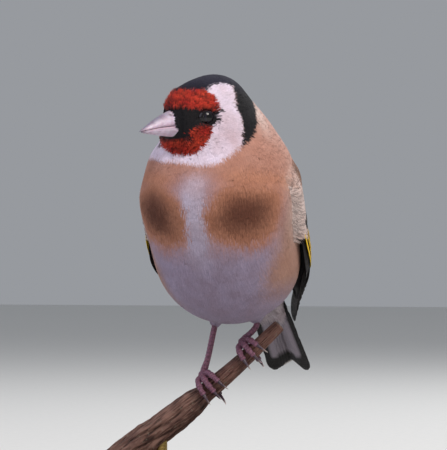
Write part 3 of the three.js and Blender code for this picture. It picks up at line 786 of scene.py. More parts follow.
def rings_mesh(rings: Array, looped: bool = False) -> tuple[Array, Array]:
    """Joins equal rings of points into a tube of triangles.

    Args:
        rings: Points by ring and place in it, every ring running the same way round.
        looped: Whether the last ring meets the first; otherwise a point closes each end.

    Returns:
        Its points and faces, facing outwards.
    """
    count, sides = rings.shape[:2]
    points = rings.reshape(-1, 3)
    k, i = np.meshgrid(np.arange(count if looped else count - 1), np.arange(sides), indexing="ij")
    a, b = k * sides + i, k * sides + (i + 1) % sides
    c, d = (a + sides) % len(points), (b + sides) % len(points)
    faces = np.concatenate([np.stack([a, b, d], -1).reshape(-1, 3), np.stack([a, d, c], -1).reshape(-1, 3)])
    if not looped:
        points = np.concatenate([points, rings[0].mean(0)[None], rings[-1].mean(0)[None]])
        around = np.arange(sides)
        ahead = (around + 1) % sides
        first = np.stack([np.full(sides, count * sides), ahead, around], -1)
        base = (count - 1) * sides
        last = np.stack([np.full(sides, count * sides + 1), base + around, base + ahead], -1)
        faces = np.concatenate([faces, first, last])
    return points, outside_out(points, faces)


def with_ends(colour: Array) -> Array:
    """A tube's colours with those of the points that close its ends."""
    return np.concatenate([colour, colour[:1], colour[-1:]])


def join_meshes(parts: list) -> tuple[Array, Array]:
    """Joins (points, faces) pairs into one."""
    offsets = np.cumsum([0] + [len(points) for points, _ in parts])
    faces = [one + offset for (_, one), offset in zip(parts, offsets)]
    return np.concatenate([points for points, _ in parts]), np.concatenate(faces)


def tube_rings(line: Array, radius: Array, sides: int, squash: float = 1.0, up: Array | None = None) -> Array:
    """Rings round a line.

    Args:
        line: Points along it.
        radius: The radius at each point, or at each point and place round it.
        sides: Points in a ring.
        squash: Height of a ring over its width.
        up: The direction that counts as up, or none for straight up.

    Returns:
        Points by ring and place in it.
    """
    along = unit(np.gradient(line, axis=0))
    top = np.broadcast_to(UPWARD if up is None else up, along.shape)
    side = unit(np.cross(top, along))
    top = np.cross(along, side)
    angle = np.linspace(0, 2 * np.pi, sides, endpoint=False)
    radius = np.asarray(radius, float)
    radius = radius[:, None] if radius.ndim == 1 else radius
    across = radius * np.cos(angle)
    lift = radius * squash * np.sin(angle)
    return line[:, None] + across[..., None] * side[:, None] + lift[..., None] * top[:, None]


# Plumage


@dataclass(frozen=True)
class Plumage(Finish):
    """Small soft feathers: keratin barbs that scatter light, so matt with a faint sheen along their edges.

    The markings come with the mesh. Fine streaks as wide as a barb run through them.
    """

    name: str = "plumage, barbs of soft keratin"
    roughness: float = 0.8
    ior: float = 1.36
    sheen: float = 0.04
    barb: float = 0.3
    streak: float = 0.1

    def material(self) -> Material:
        """Builds the finish."""
        material, tree, surface = self.begin()
        marking = self.marking(tree)
        fine = self.noise(tree, self.barb, 2.0, low=0.3, high=0.7)
        broad = self.noise(tree, 4.0, 2.0)
        dark = self.spread(tree, fine, 0, 1, 1 - self.streak, 1.04)
        tone = self.grey(tree, dark)
        streaked = self.blend(tree, Mixing.TIMES, 1.0, marking, tone)
        aged = self.blend(tree, Mixing.TIMES, broad, streaked, rgba("#f4efec"))
        self.wear(tree, surface, aged, fine, -0.08, 0.12)
        return material


SLIVER = np.array([
    (0, 2, 1), (0, 3, 2), (0, 1, 3), (1, 2, 5), (1, 5, 4), (2, 3, 6),
    (2, 6, 5), (3, 1, 4), (3, 4, 6), (4, 5, 7), (5, 6, 7), (6, 4, 7),
])
REACHES = (0.0, 0.4, 0.72, 1.0)
BAKE_PATCH = 0.003


def strands(spines: Array, outs: Array, half: Array, count: int, rng: Random, levels: Array | None = None,
            ragged: float = 0.12) -> tuple[Array, Array, Array, Array]:
    """Builds feathers as fans of tapered barbs, each barb a closed sliver with a ridge.

    Args:
        spines: Four points along the middle of each feather, from root to tip.
        outs: Outward directions at those points.
        half: Half width of each feather.
        count: Barbs in a feather.
        rng: The random numbers.
        levels: Height over the body at each of the four points, or none to leave the barbs where they are.
        ragged: How unequal the tips are, as a share of the length.

    Returns:
        The points, the faces, and each point's feather number and place in the feather.
    """
    total = len(spines)
    phi = (np.arange(count) + 0.5) / count * 2 - 1
    phi = phi[None, :] + rng.normal(0, 0.3 / count, (total, count))
    along = unit(np.gradient(spines, axis=1))
    side = unit(np.cross(outs, along))
    length = np.linalg.norm(np.diff(spines, axis=1), axis=-1).sum(1)
    spread = (0.2, 0.85, 1.0, 1.0)
    short = (0.0, 0.08, 0.15, 0.2)
    rows = []
    for k in range(4):
        back = short[k] * phi ** 2 * length[:, None]
        off = spread[k] * phi * half[:, None]
        if k == 3:
            back = back + rng.uniform(-ragged, ragged, (total, count)) * length[:, None]
            off = off + rng.normal(0, 0.02, (total, count)) * length[:, None]
        sink = 0.16 * (phi ** 2) * half[:, None] * (k > 0)
        row = (spines[:, k, None] - along[:, k, None] * back[..., None] + side[:, k, None] * off[..., None]
               - outs[:, k, None] * sink[..., None])
        rows.append(row.reshape(-1, 3))
    if levels is not None:
        jitter = rng.uniform(-0.05, 0.05, (total, count))
        for k in range(4):
            level = np.repeat(levels[:, k], count) + (jitter * (0.2 + 0.3 * k) * (k > 0)).ravel()
            rows[k] = FORM.settle(rows[k], level, 1)
        out = FORM.outward(rows[2])
    else:
        out = np.repeat(outs[:, 2], count, axis=0)
    pitch = np.repeat(2 * half / count, count)
    wide = [None, 2.2 * pitch, 1.6 * pitch]
    points = np.zeros((total * count, 8, 3))
    points[:, 0] = rows[0]
    points[:, 7] = rows[3]
    for k in (1, 2):
        way = unit(rows[k + 1] - rows[k - 1])
        left = unit(np.cross(out, way))
        width = 0.5 * wide[k][:, None]
        base = 3 * k - 2
        points[:, base] = rows[k] + width * left
        points[:, base + 1] = rows[k] + 0.4 * width * out
        points[:, base + 2] = rows[k] - width * left
    faces = (SLIVER[None] + 8 * np.arange(total * count)[:, None, None]).reshape(-1, 3)
    feather = np.repeat(np.repeat(np.arange(total), count), 8)
    shares = np.repeat(REACHES, (1, 3, 3, 1))
    across = np.repeat((phi.ravel() + 1) / 2, 8)
    place = np.stack([np.clip(across, 0, 1), np.tile(shares, total * count)], -1)
    return points.reshape(-1, 3), faces, feather, place


@dataclass(frozen=True)
class Tract:
    """One part of the coat: where it lies by distance from the bill, and how fine it is."""

    name: str
    near: float
    far: float
    barbs: int
    spacing: float
    length: tuple[float, float]
    width: float


class Wings:
    """Where the folded wings lie, for the coat to leave room and for the feathers to follow."""

    stations = [
        ((8, 11.5, 19.5), (18.4, -3.4, 9.8), 3.0),
        ((8, 17.5, 11), (20.3, 1.4, -1), 4.0),
        ((6.4, 22.5, 2), (20.1, 7.4, -9.8), 4.6),
        ((4.6, 27.5, -5.5), (17, 16, -16.5), 4.0),
        ((4.4, 35, -12.8), (12.2, 28, -21), 2.2),
        ((5.6, 46, -24.4), (6.3, 45.6, -26.2), 0.0),
    ]
    clear = 1.202

    def __init__(self) -> None:
        """Draws the sheet's edges and samples it."""
        self.upper = Curve([one[0] for one in self.stations])
        self.lower = Curve([one[1] for one in self.stations])
        self.bulge = [one[2] for one in self.stations]
        shares = [(a, c) for a in np.linspace(0, 1, 61) for c in np.linspace(0, 1, 25)]
        self.grid = np.array(shares)
        self.samples = self.sheet(self.grid[:, 0], self.grid[:, 1], np.zeros(len(shares)))
        self.tree = KDTree(len(shares))
        for i, p in enumerate(self.samples):
            self.tree.insert(p, i)
        self.tree.balance()

    def sheet(self, along: Array, across: Array, lift: Array) -> Array:
        """Points of the left wing's sheet, held clear of the body.

        Args:
            along: Shares from the shoulder to the tips.
            across: Shares from the back to the flank.
            lift: Heights over the sheet, in mm.

        Returns:
            The points.
        """
        a = np.clip(along, 0, 1)
        upper, lower = self.upper.at(a), self.lower.at(a)
        point = mix(upper, lower, across[..., None])
        run = mix(self.upper.slope(a), self.lower.slope(a), across[..., None])
        out = unit(np.cross(lower - upper, run))
        out = np.where(out[..., :1] < 0, -out, out)
        swell = np.interp(a * (len(self.bulge) - 1), np.arange(len(self.bulge)), self.bulge)
        rise = swell * np.sin(np.pi * np.clip(across, 0, 1)) + lift
        point = point + rise[..., None] * out
        short = np.maximum(lift, 0) + self.clear - FORM.body(point)
        return point + np.maximum(short, 0)[..., None] * FORM.outward(point, False)

    def under(self, points: Array) -> tuple[Array, Array, Array]:
        """The nearest place of either wing's sheet.

        Args:
            points: Places on the body.

        Returns:
            The distance to it and its shares along and across.
        """
        left = np.stack([np.abs(points[:, 0]), points[:, 1], points[:, 2]], -1)
        found = [self.tree.find(p)[1:] for p in left]
        index = np.array([i for i, _ in found])
        return np.array([d for _, d in found]), self.grid[index, 0], self.grid[index, 1]


WINGS = Wings()


@dataclass
class Coat:
    """The skin and the small feathers that cover it, from the bill to the tail's root."""

    seed: int = 7
    skin_voxel: float = 0.55
    tries: float = 3.2
    eye_clear: float = 1.75
    tracts: tuple[Tract, ...] = (
        Tract("face_plumage", 0.0, 9.5, 5, 0.38, (1.25, 1.8), 0.27),
        Tract("head_plumage", 9.5, 20.0, 7, 0.46, (1.7, 3.0), 0.24),
        Tract("breast_plumage", 20.0, 34.0, 12, 0.7, (3.0, 4.6), 0.24),
        Tract("belly_plumage", 34.0, 90.0, 13, 0.8, (4.6, 6.0), 0.24),
    )

    def build_skin(self) -> Thing:
        """Makes one seamless skin inside the outer surface by the coat's depth.

        Returns:
            The skin's object.
        """
        balls = []
        for middle, half, turned in Form.masses:
            bpy.ops.mesh.primitive_ico_sphere_add(subdivisions=4, radius=1)
            ball = bpy.context.object
            unit_ball = points_of(ball)
            places = metres((unit_ball * np.array(half)) @ turned.T + np.array(middle))
            ball.data.vertices.foreach_set("co", places.astype(np.float32).ravel())
            balls.append(ball)
        for knee, ankle in Form.cuffs:
            knee, ankle = np.array(knee), np.array(ankle)
            run = unit(ankle - knee)
            line = knee + run * np.linspace(-5, 3.6, 8)[:, None]
            points, faces = rings_mesh(tube_rings(line, np.linspace(3.0, 1.2, 8), 12,
                                                  up=np.array([0.0, 1.0, 0.0])))
            balls.append(new_object("cuff", points, faces, None))
        with bpy.context.temp_override(active_object=balls[0], object=balls[0],
                                       selected_editable_objects=balls):
            bpy.ops.object.join()
        lump = balls[0]
        lump.name = "skin"
        remesh = lump.modifiers.new("skin", "REMESH")
        remesh.mode = "VOXEL"
        remesh.voxel_size = self.skin_voxel * MM
        shaped = bpy.data.meshes.new_from_object(lump.evaluated_get(bpy.context.evaluated_depsgraph_get()))
        lump.modifiers.clear()
        lump.data = shaped
        lump.data.name = "skin"
        places = points_of(lump) / MM - BODY_AT
        for _ in range(5):
            places = FORM.settle(places, -coat_depth(places), 1)
        lump.data.vertices.foreach_set("co", metres(places).astype(np.float32).ravel())
        lump.data.update()
        lump.data.shade_smooth()
        # the skin takes the coat's colours 8% darker: painted shade for the gaps between feathers, where it
        # shows
        give_colours(lump, "marking", MARKINGS.colours(places) * 0.92)
        lump.data.materials.clear()
        lump.data.materials.append(Plumage().material())
        return lump

    def scatter(self, skin: Thing, rng: Random) -> tuple[Array, Array]:
        """Spreads feather roots evenly over the skin.

        Args:
            skin: The skin's object.
            rng: The random numbers.

        Returns:
            The roots and each one's tract number.
        """
        mesh = skin.data
        mesh.calc_loop_triangles()
        corners = np.zeros(len(mesh.loop_triangles) * 3, np.int32)
        mesh.loop_triangles.foreach_get("vertices", corners)
        corner = (points_of(skin) / MM - BODY_AT)[corners.reshape(-1, 3)]
        sides = corner[:, 1:] - corner[:, :1]
        area = 0.5 * np.linalg.norm(np.cross(sides[:, 0], sides[:, 1]), axis=1)
        middle = corner.mean(1)
        tract = np.searchsorted([t.far for t in self.tracts], from_bill(middle)).clip(0, len(self.tracts) - 1)
        spacing = np.array([t.spacing for t in self.tracts])[tract]
        want = self.tries * area / spacing ** 2
        count = np.floor(want + rng.random(len(want))).astype(int)
        which = np.repeat(np.arange(len(area)), count)
        a, b = rng.random((2, len(which)))
        a, b = np.where(a + b > 1, 1 - a, a), np.where(a + b > 1, 1 - b, b)
        roots = (corner[which, 0] + a[:, None] * (corner[which, 1] - corner[which, 0])
                 + b[:, None] * (corner[which, 2] - corner[which, 0]))
        keep = self.allowed(roots)
        roots = roots[keep]
        spacing, tract = spacing[which][keep], tract[which][keep]
        order = rng.permutation(len(roots))
        taken: dict[tuple[int, int, int], list[int]] = {}
        chosen = []
        cell = max(t.spacing for t in self.tracts)
        cells = np.floor(roots / cell).astype(int)
        around = list(product((-1, 0, 1), repeat=3))
        for i in order:
            home = tuple(cells[i])
            limit = spacing[i] ** 2
            near = (j for step in around for j in taken.get(tuple(h + d for h, d in zip(home, step)), ()))
            if all(self.apart(roots[i] - roots[j]) >= limit for j in near):
                taken.setdefault(home, []).append(i)
                chosen.append(i)
        chosen = np.array(chosen)
        return roots[chosen], tract[chosen]

    def apart(self, gap: Array) -> float:
        """A distance squared."""
        return gap[0] * gap[0] + gap[1] * gap[1] + gap[2] * gap[2]

    def allowed(self, roots: Array) -> Array:
        """Which roots lie clear of the bill, the eyes, the wings and the tail.

        Args:
            roots: Where feathers would grow.

        Returns:
            True for each root that may keep its feather.
        """
        f, l, h = head_place(roots)
        eye = (np.hypot(f + 0.5, h + 0.45) < self.eye_clear) & (np.abs(l) > 5.0)
        culmen = mix(2.6, -4.4, (f - 2.6) / 14.3)
        bill = (f > 4.5) & (np.abs(l) < 3.7) & (h < culmen + 0.3) & (h > -6.1)
        distance, along, across = WINGS.under(roots)
        covered = (distance < 6) & (along > 0.1) & (across > 0.1) & (across < 0.9)
        covered |= (distance < 5) & (along <= 0.1) & (along > 0.04) & (across > 0.14) & (across < 0.86)
        tail = dot(roots - TAIL_CUT, TAIL_RUN) > 0.5
        return ~(eye | bill | covered | tail)

    def feathers(self, roots: Array, tract: Tract, rng: Random) -> tuple:
        """Grows feathers from roots.

        Args:
            roots: Their roots on the skin.
            tract: The tract they belong to.
            rng: The random numbers.

        Returns:
            Points, faces, feather numbers and places, as strands() gives them.
        """
        far = from_bill(roots)
        share = np.clip((far - tract.near) / (min(tract.far, 60) - tract.near), 0, 1)
        length = mix(tract.length[0], tract.length[1], share) * rng.uniform(0.85, 1.15, len(roots))
        half = tract.width * length * rng.uniform(0.9, 1.1, len(roots))
        depth = coat_depth(roots)
        spine = [roots]
        outs = [FORM.outward(roots)]
        turn = rng.normal(0, 0.05, len(roots))
        steps = (0.42, 0.31, 0.27)
        for k, step in enumerate(steps):
            way = lie(spine[-1], outs[-1])
            side = np.cross(outs[-1], way)
            way = unit(way + turn[:, None] * side)
            ahead = spine[-1] + way * (step * length)[:, None]
            spine.append(FORM.settle(ahead, -depth * (0.16, 0.06, 0.05)[k], 1))
            outs.append(FORM.outward(spine[-1]))
        f, l, h = head_place(spine[2])
        upper, lower, _ = MARKINGS.mask(f, l, h)
        proud = np.maximum(upper, lower) * (far < 14) * rng.uniform(0.05, 0.85, len(roots))
        high = np.stack([crest(one) for one in spine], -1)
        levels = high * (0.0, 0.7, 1.0, 1.0) + np.stack(
            [-depth - 0.15, -0.16 * depth, -0.06 * depth + 0.4 * proud, -0.05 * depth + proud], -1)
        return strands(np.stack(spine, 1), np.stack(outs, 1), half, tract.barbs, rng, levels)

    def dress(self, name: str, made: tuple, roots: Array, rng: Random, material: Material,
              loose: float) -> Thing:
        """Turns strands into a piece with its markings, painted shade and highlights, and its bake map.

        Args:
            name: The piece's name.
            made: What strands() gave.
            roots: Each feather's root.
            rng: The random numbers.
            material: The finish.
            loose: How ragged the edges of the markings are, in mm.

        Returns:
            The piece.
        """
        points, faces, feather, place = made
        thing = new_object(name, points, faces, material)
        barbs = points.reshape(-1, 8, 3)
        where = mix(barbs[:, 4:7].mean(1), barbs[:, 7], 0.3)
        slack = rng.normal(0, loose, where.shape)
        colour = np.repeat(MARKINGS.colours(where, slack), 8, axis=0)
        f, l, h = head_place(where)
        upper, lower, _ = MARKINGS.mask(f, l, h)
        scaly = np.repeat(np.maximum(upper, lower), 8)
        tone = (1 + (0.025 + 0.3 * scaly) * rng.normal(0, 1, len(roots))[feather]) * np.repeat(
            rng.normal(1, 0.05, len(barbs)), 8)
        # painted shade: each feather a little darker at its root, where the feathers over it shade it, and a
        # little lighter at its tip
        shade = np.interp(place[:, 1], REACHES, (0.95, 0.98, 1.0, 1.02))
        # on the red mask, much darker roots are painted shade in the gaps between tufts, and tips brighter
        # than the red are painted highlights
        shade = mix(shade, np.interp(place[:, 1], REACHES, (0.15, 0.35, 0.9, 1.35)), scaly)
        give_colours(thing, "marking", colour * (np.maximum(tone, 0.3) * shade)[:, None])
        soften(thing, FORM.outward(points), 0.75)
        give_uv(thing, "OFBake", self.patches(roots)[feather] + BAKE_PATCH * (place - 0.5))
        return thing

    def patches(self, roots: Array) -> Array:
        """Unwraps the skin round its own middle, each root's place spread to fill the map."""
        middle = mix(roots.min(0), roots.max(0), 0.5)
        away = unit(roots - middle)
        turn = np.arctan2(away[:, 0], -away[:, 1])
        uv = np.stack([turn, away[:, 2]], -1)
        low, high = uv.min(0), uv.max(0)
        return 0.01 + 0.98 * (uv - low) / np.maximum(high - low, 1e-6)

    def build(self) -> list[Thing]:
        """Makes the skin and the feathers over it.

        Returns:
            The pieces.
        """
        rng = np.random.default_rng(self.seed)
        skin = self.build_skin()
        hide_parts("head", "neck", "torso", "thigh_left", "thigh_right")
        pieces = [skin]
        roots, tract = self.scatter(skin, rng)
        log.info("%d feather roots", len(roots))
        material = skin.data.materials[0]
        for number, one in enumerate(self.tracts):
            mine = roots[tract == number]
            per_side = len(mine) * one.barbs * 12
            halves = [("", mine)] if per_side < 190000 else [
                ("_left", mine[mine[:, 0] >= 1.4]), ("_right", mine[mine[:, 0] < 1.4])]
            for ending, part in halves:
                thing = self.dress(one.name + ending, self.feathers(part, one, rng), part, rng, material,
                                   0.22 if number < 2 else 0.6)
                pieces.append(thing)
                log.info("%s: %d feathers, %d triangles", thing.name, len(part), len(thing.data.polygons))
        return pieces


# Wing and tail feathers


@dataclass(frozen=True)
class FlightVane(Finish):
    """A flight feather's vane: barbs hooked into a smooth sheet, so glossier than down, with fine ribs.

    The colours come with the mesh. The ribs run from the shaft to the edge at 40 degrees, drawn 0.45 mm
    apart, three times as coarse as real barbs, so that they show.
    """

    name: str = "flight feathers, hooked keratin vane"
    roughness: float = 0.6
    ior: float = 1.42
    sheen: float = 0.0
    rib: float = 0.45

    def material(self) -> Material:
        """Builds the finish."""
        material, tree, surface = self.begin()
        marking = self.marking(tree)
        where = add_node(tree, "UVMap", {"uv_map": "vane"}).outputs[0]
        ribs = add_node(tree, "TexWave", {
            "wave_type": "BANDS", "bands_direction": "Y", "Scale": 0.314 / self.rib, "Distortion": 1.2,
            "Detail": 2.0,
            "Detail Scale": 1.5,
        }, {"Vector": where}).outputs["Fac"]
        fine = self.noise(tree, 0.5, 3.0)
        dark = self.spread(tree, ribs, 0, 1, 0.82, 1.06)
        tone = self.grey(tree, dark)
        ribbed = self.blend(tree, Mixing.TIMES, 1.0, marking, tone)
        dusty = self.blend(tree, Mixing.OVER, self.spread(tree, fine, 0, 1, 0.0, 0.05), ribbed,
                           rgba("#5d5450"))
        self.wear(tree, surface, dusty, fine, -0.1, 0.15)
        self.relief(tree, surface, ribs, 0.045)
        return material


@dataclass
class Feather:
    """One stiff feather: the frames of its shaft, its widths and how its vanes bend."""

    points: Array
    along: Array
    out: Array
    half: Array
    shaft: float = 0.0
    tilt: float = 0.0
    camber: float = 0.12
    thick: float = 0.16
    kind: str = ""
    rank: float = 0.0
    outer: float = 1.0

    def mesh(self, rng: Random) -> tuple[Array, Array, Array, Array]:
        """Builds the closed vane and its shaft.

        Args:
            rng: The random numbers, for the splits in its edges.

        Returns:
            Points, faces, shares along and across at each point, and places in mm on the flat vane.
        """
        columns = 9
        rows = len(self.points)
        x = np.linspace(-1, 1, columns)
        side = unit(np.cross(self.out, self.along)) * self.outer
        share = np.linspace(0, 1, rows)
        ragged = np.ones((rows, columns))
        for edge in (0, columns - 1):
            notch = np.zeros(rows)
            for _ in range(rng.integers(1, 4)):
                at = rng.uniform(0.35, 0.9)
                notch += 0.16 * np.exp(-((share - at) / 0.022) ** 2) * rng.uniform(0.4, 1.0)
            ragged[:, edge] -= notch + rng.uniform(0, 0.035, rows)
        off = x[None] * self.half[:, None] * ragged
        bend = self.camber * self.half[:, None] * (1 - x[None] ** 2) + self.tilt * off
        middle = self.points[:, None] + side[:, None] * off[..., None] + self.out[:, None] * bend[..., None]
        skew = 0.14 * np.abs(x[None]) * self.half[:, None] * smooth(share, 0.6, 1.0)[:, None]
        middle = middle - self.along[:, None] * skew[..., None]
        depth = 0.5 * self.thick * np.sqrt(np.maximum(1 - (x * 0.94) ** 2, 0.05))[None, :, None]
        top = middle + depth * self.out[:, None]
        bottom = middle - depth * self.out[:, None]
        rings = np.concatenate([top, bottom[:, ::-1]], axis=1)
        points, faces = rings_mesh(rings)
        along_share = np.repeat(share, 2 * columns)
        across_share = np.tile(np.concatenate([x, x[::-1]]), rows)
        steps = np.linalg.norm(np.diff(self.points, axis=0), axis=1)
        reached = np.repeat(np.concatenate([[0], np.cumsum(steps)]), 2 * columns)
        flat = np.stack([np.concatenate([off, off[:, ::-1]], 1).ravel(), reached], -1)
        flat[:, 1] -= 0.85 * np.abs(flat[:, 0])
        ends = np.array([[0, 0], [1, 0]])
        along_share = np.concatenate([along_share, ends[:, 0]])
        across_share = np.concatenate([across_share, ends[:, 1]])
        flat = np.concatenate([flat, flat[[0, -1]]])
        center = int(round((self.shaft + 1) / 2 * (columns - 1)))
        shaft_line = top[:, center] + self.out * 0.02
        radius = np.interp(share, (0, 1), (0.26, 0.05))
        shaft_points, shaft_faces = rings_mesh(tube_rings(shaft_line, radius, 5, 0.7, self.out.mean(0)))
        count = len(shaft_points)
        points, faces = join_meshes([(points, faces), (shaft_points, shaft_faces)])
        shaft_share = np.concatenate([np.repeat(share, 5), [0, 1]])
        along_share = np.concatenate([along_share, shaft_share])
        across_share = np.concatenate([across_share, np.full(count, 9.0)])
        flat = np.concatenate([flat, np.stack([np.full(count, 0.2), shaft_share * 20], -1)])
        return points, faces, np.stack([along_share, across_share], -1), flat


@dataclass(frozen=True)
class Tier:
    """A row of wing feathers, its roots and tips spread evenly from the first to the last."""

    kind: str
    count: int
    roots: tuple
    tips: tuple
    width: tuple
    lifts: tuple
    rise: float
    blunt: float
    tilt: float
    rows: int = 30
    narrow: float = 0.62


@dataclass
class FlightFeathers:
    """The folded wings: tiers of stiff feathers over the arm."""

    seed: int = 11
    black: str = "#0b090d"
    brownish: str = "#1b1616"
    yellow: str = "#efc60a"
    tip: str = "#e9e2de"
    shaft: str = "#1b1718"
    tiers: tuple[Tier, ...] = (
        Tier("primary", 8, ((0.34, 0.9), (0.4, 0.66)), ((0.985, 0.7), (0.76, 0.56)), (4.6, 5.6), (-0.5, -0.2),
             1.8,
             0.8, -0.22, 44),
        Tier("secondary", 6, ((0.32, 0.66), (0.32, 0.36)), ((0.728, 0.496), (0.703, 0.264)), (5.6, 6.2),
             (0.3, 0.9), 0.7,
             0.84, -0.26, 34),
        Tier("tertial", 3, ((0.3, 0.3), (0.22, 0.1)), ((0.682, 0.175), (0.471, 0.07)), (6.4, 6.2), (0.8, 1.5),
             0.9,
             0.78, -0.2, 30),
        Tier("primary covert", 4, ((0.24, 0.97), (0.26, 0.9)), ((0.5, 0.97), (0.46, 0.9)), (2.6, 3.0),
             (0.154, 0.912), 0.3, 0.7, -0.16, 20),
        Tier("greater covert", 9, ((0.14, 0.9), (0.14, 0.1)), ((0.46, 0.88), (0.4, 0.12)), (4.0, 4.6),
             (0.5, 1.5), 0.3, 0.74, -0.18, 20, 0.8),
        Tier("median covert", 9, ((0.04, 0.86), (0.04, 0.1)), ((0.23, 0.84), (0.21, 0.12)), (3.6, 4.0),
             (0.2, 1.35), 0.0, 0.62, -0.14, 16, 0.8),
        Tier("lesser covert", 11, ((0.0, 0.9), (0.0, 0.1)), ((0.12, 0.86), (0.11, 0.12)), (3.0, 3.4),
             (0.0, 0.8),
             0.0, 0.55, -0.1, 12, 0.8),
    )

    def frames(self, tier: Tier, share: float) -> Feather:
        """Lays one feather of a tier on the wing's sheet.

        Args:
            tier: The row of feathers.
            share: The feather's place in the row, from 0 to 1.

        Returns:
            The feather's middle line with its directions and half widths.
        """
        root = mix(np.array(tier.roots[0]), np.array(tier.roots[1]), share)
        tip = mix(np.array(tier.tips[0]), np.array(tier.tips[1]), share)
        lifts = (tier.lifts[0] + tier.rise * share, tier.lifts[1] + tier.rise * share)
        s = np.linspace(0, 1, tier.rows)

        def at(shares: Array, shift: float = 0.0) -> Array:
            """Points on the sheet along the feather, shifted across the wing."""
            along = mix(root[0], tip[0], shares)
            across = mix(root[1], tip[1], shares) + 0.05 * np.sin(np.pi * shares) + shift
            return WINGS.sheet(along, across, mix(lifts[0], lifts[1], shares))

        points = at(s)
        points = np.stack([np.convolve(np.pad(points[:, i], 2, "edge"), np.ones(5) / 5, "valid")
                           for i in range(3)], -1)
        along = unit(np.gradient(points, axis=0))
        out = unit(np.cross(at(s, 0.03) - at(s, -0.03), along))
        out = np.where(out[:, :1] < 0, -out, out)
        out = unit(np.stack([np.convolve(np.pad(out[:, i], 3, "edge"), np.ones(7) / 7, "valid")
                             for i in range(3)], -1))
        width = mix(tier.width[0], tier.width[1], share) / 2
        swell = mix(tier.narrow, 1, smooth(s, 0, 0.45))
        past = np.maximum(0, s - tier.blunt) / (1 - tier.blunt + 0.004)
        half = np.maximum(0.12, width * swell * np.sqrt(np.maximum(0, 1 - past ** 2.2)))
        return Feather(points, along, out, half, shaft=-0.25, tilt=tier.tilt, kind=tier.kind, rank=share)

    def colours(self, feather: Feather, place: Array, points: Array) -> Array:
        """The black, yellow and white of one wing feather.

        Args:
            feather: The feather.
            place: Shares along and across at each point.
            points: The points.

        Returns:
            Linear colours.
        """
        s, x = place[:, 0], place[:, 1]
        ragged = 0.02 * wobble(points, 0.9, 4.0)
        black, yellow = pigment(self.black), pigment(self.yellow)
        colour = np.broadcast_to(black, (len(s), 3)).copy()
        edge = smooth(np.abs(x), 0.8, 1.0) * (x < 5)
        colour = mix(colour, pigment(self.brownish), edge[:, None])
        kind, rank = feather.kind, feather.rank
        if kind == "primary":
            bar = smooth(s, 0.58 + 0.1 * rank, 0.55 + 0.1 * rank) * smooth(x + ragged, -0.15, 0.0)
            colour = mix(colour, yellow, (bar * (x < 5))[:, None])
            white = smooth(s + ragged, 0.965, 0.985) * (rank > 0.2)
        elif kind == "secondary":
            bar = smooth(s + ragged, 0.66, 0.63)
            colour = mix(colour, yellow, (bar * (x < 5))[:, None])
            white = smooth(s + ragged, 0.93, 0.96)
        elif kind == "tertial":
            white = smooth(s + ragged, 0.86, 0.92)
        elif kind == "greater covert":
            bar = smooth(s + ragged, 0.16, 0.24)
            colour = mix(colour, yellow, (bar * (x < 5))[:, None])
            white = np.zeros(len(s))
        else:
            white = np.zeros(len(s))
        colour = mix(colour, pigment(self.tip), white[:, None])
        return mix(colour, pigment(self.shaft), (0.6 * (x > 5) * (1 - white))[:, None])

    def piece(self, name: str, feathers: list[Feather], material: Material, rng: Random,
              mirror: bool) -> Thing:
        """Joins feathers into one piece, each with its own place on the bake map.

        Args:
            name: The piece's name.
            feathers: The feathers, undermost first.
            material: Their finish.
            rng: Source of the small differences between feathers.
            mirror: Whether the piece is the other side's.

        Returns:
            The piece.
        """
        parts, colours, vanes, maps = [], [], [], []
        wide = math.ceil(math.sqrt(len(feathers) * 1.2))
        for number, one in enumerate(feathers):
            points, faces, place, flat = one.mesh(rng)
            colours.append(self.colours(one, place, points) * rng.normal(1, 0.04))
            vanes.append(flat)
            cell = np.array([number % wide, number // wide]) + 0.5
            span = np.abs(flat).max(0) + 0.1
            local = np.stack([place[:, 0] - 0.5, 0.42 * flat[:, 0] / span[0]], -1)
            local[:, 1] += np.where(place[:, 1] > 5, 0.02, 0)
            maps.append((cell + 0.94 * local) / wide)
            parts.append(mirrored(points, faces) if mirror else (points, faces))
        points, faces = join_meshes(parts)
        thing = new_object(name, points, faces, material)
        give_colours(thing, "marking", np.concatenate(colours))
        give_uv(thing, "OFBake", np.concatenate(maps))
        give_uv(thing, "vane", np.concatenate(vanes))
        return thing

    def core(self, name: str, material: Material, mirror: bool) -> Thing:
        """The arm under the feathers, down to just over the body.

        Args:
            name: The piece's name.
            material: Its finish.
            mirror: Whether it is the other side's.

        Returns:
            The piece.
        """
        a = np.linspace(0.0, 0.76, 30)
        c = np.linspace(0.04, 0.92, 18)
        rings = []
        for along in a:
            outer = WINGS.sheet(np.full(len(c), along), c, np.full(len(c), 0.25))
            most = mix(6, 0.8, smooth(along, 0.5, 0.72))
            depth = np.minimum(most, FORM.body(outer) - 0.4)
            inner = outer - depth[:, None] * FORM.outward(outer, False)
            rings.append(np.concatenate([outer, inner[::-1]]))
        points, faces = rings_mesh(np.array(rings))
        if mirror:
            points, faces = mirrored(points, faces)
        thing = new_object(name, points, faces, material)
        give_colours(thing, "marking", np.broadcast_to(pigment(self.black), points.shape))
        return thing

    def build(self, plumage: Material) -> list[Thing]:
        """Makes both wings.

        Args:
            plumage: The small feathers' finish, for the arm.

        Returns:
            The pieces.
        """
        material = FlightVane().material()
        pieces = []
        for name, mirror in (("left", False), ("right", True)):
            rng = np.random.default_rng(self.seed + mirror)
            remiges = [self.frames(t, i / (t.count - 1)) for t in self.tiers[:3] for i in range(t.count)]
            coverts = [self.frames(t, i / (t.count - 1)) for t in self.tiers[3:] for i in range(t.count)]
            quills = self.piece("flight_feathers_" + name, remiges, material, rng, mirror)
            cover = self.piece("wing_coverts_" + name, coverts, material, rng, mirror)
            arm = self.core("wing_arm_" + name, plumage, mirror)
            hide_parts("wing_" + name)
            for thing in (quills, cover, arm):
                pieces.append(thing)
            pieces.append(WingFringe().build(name, mirror, plumage))
        return pieces


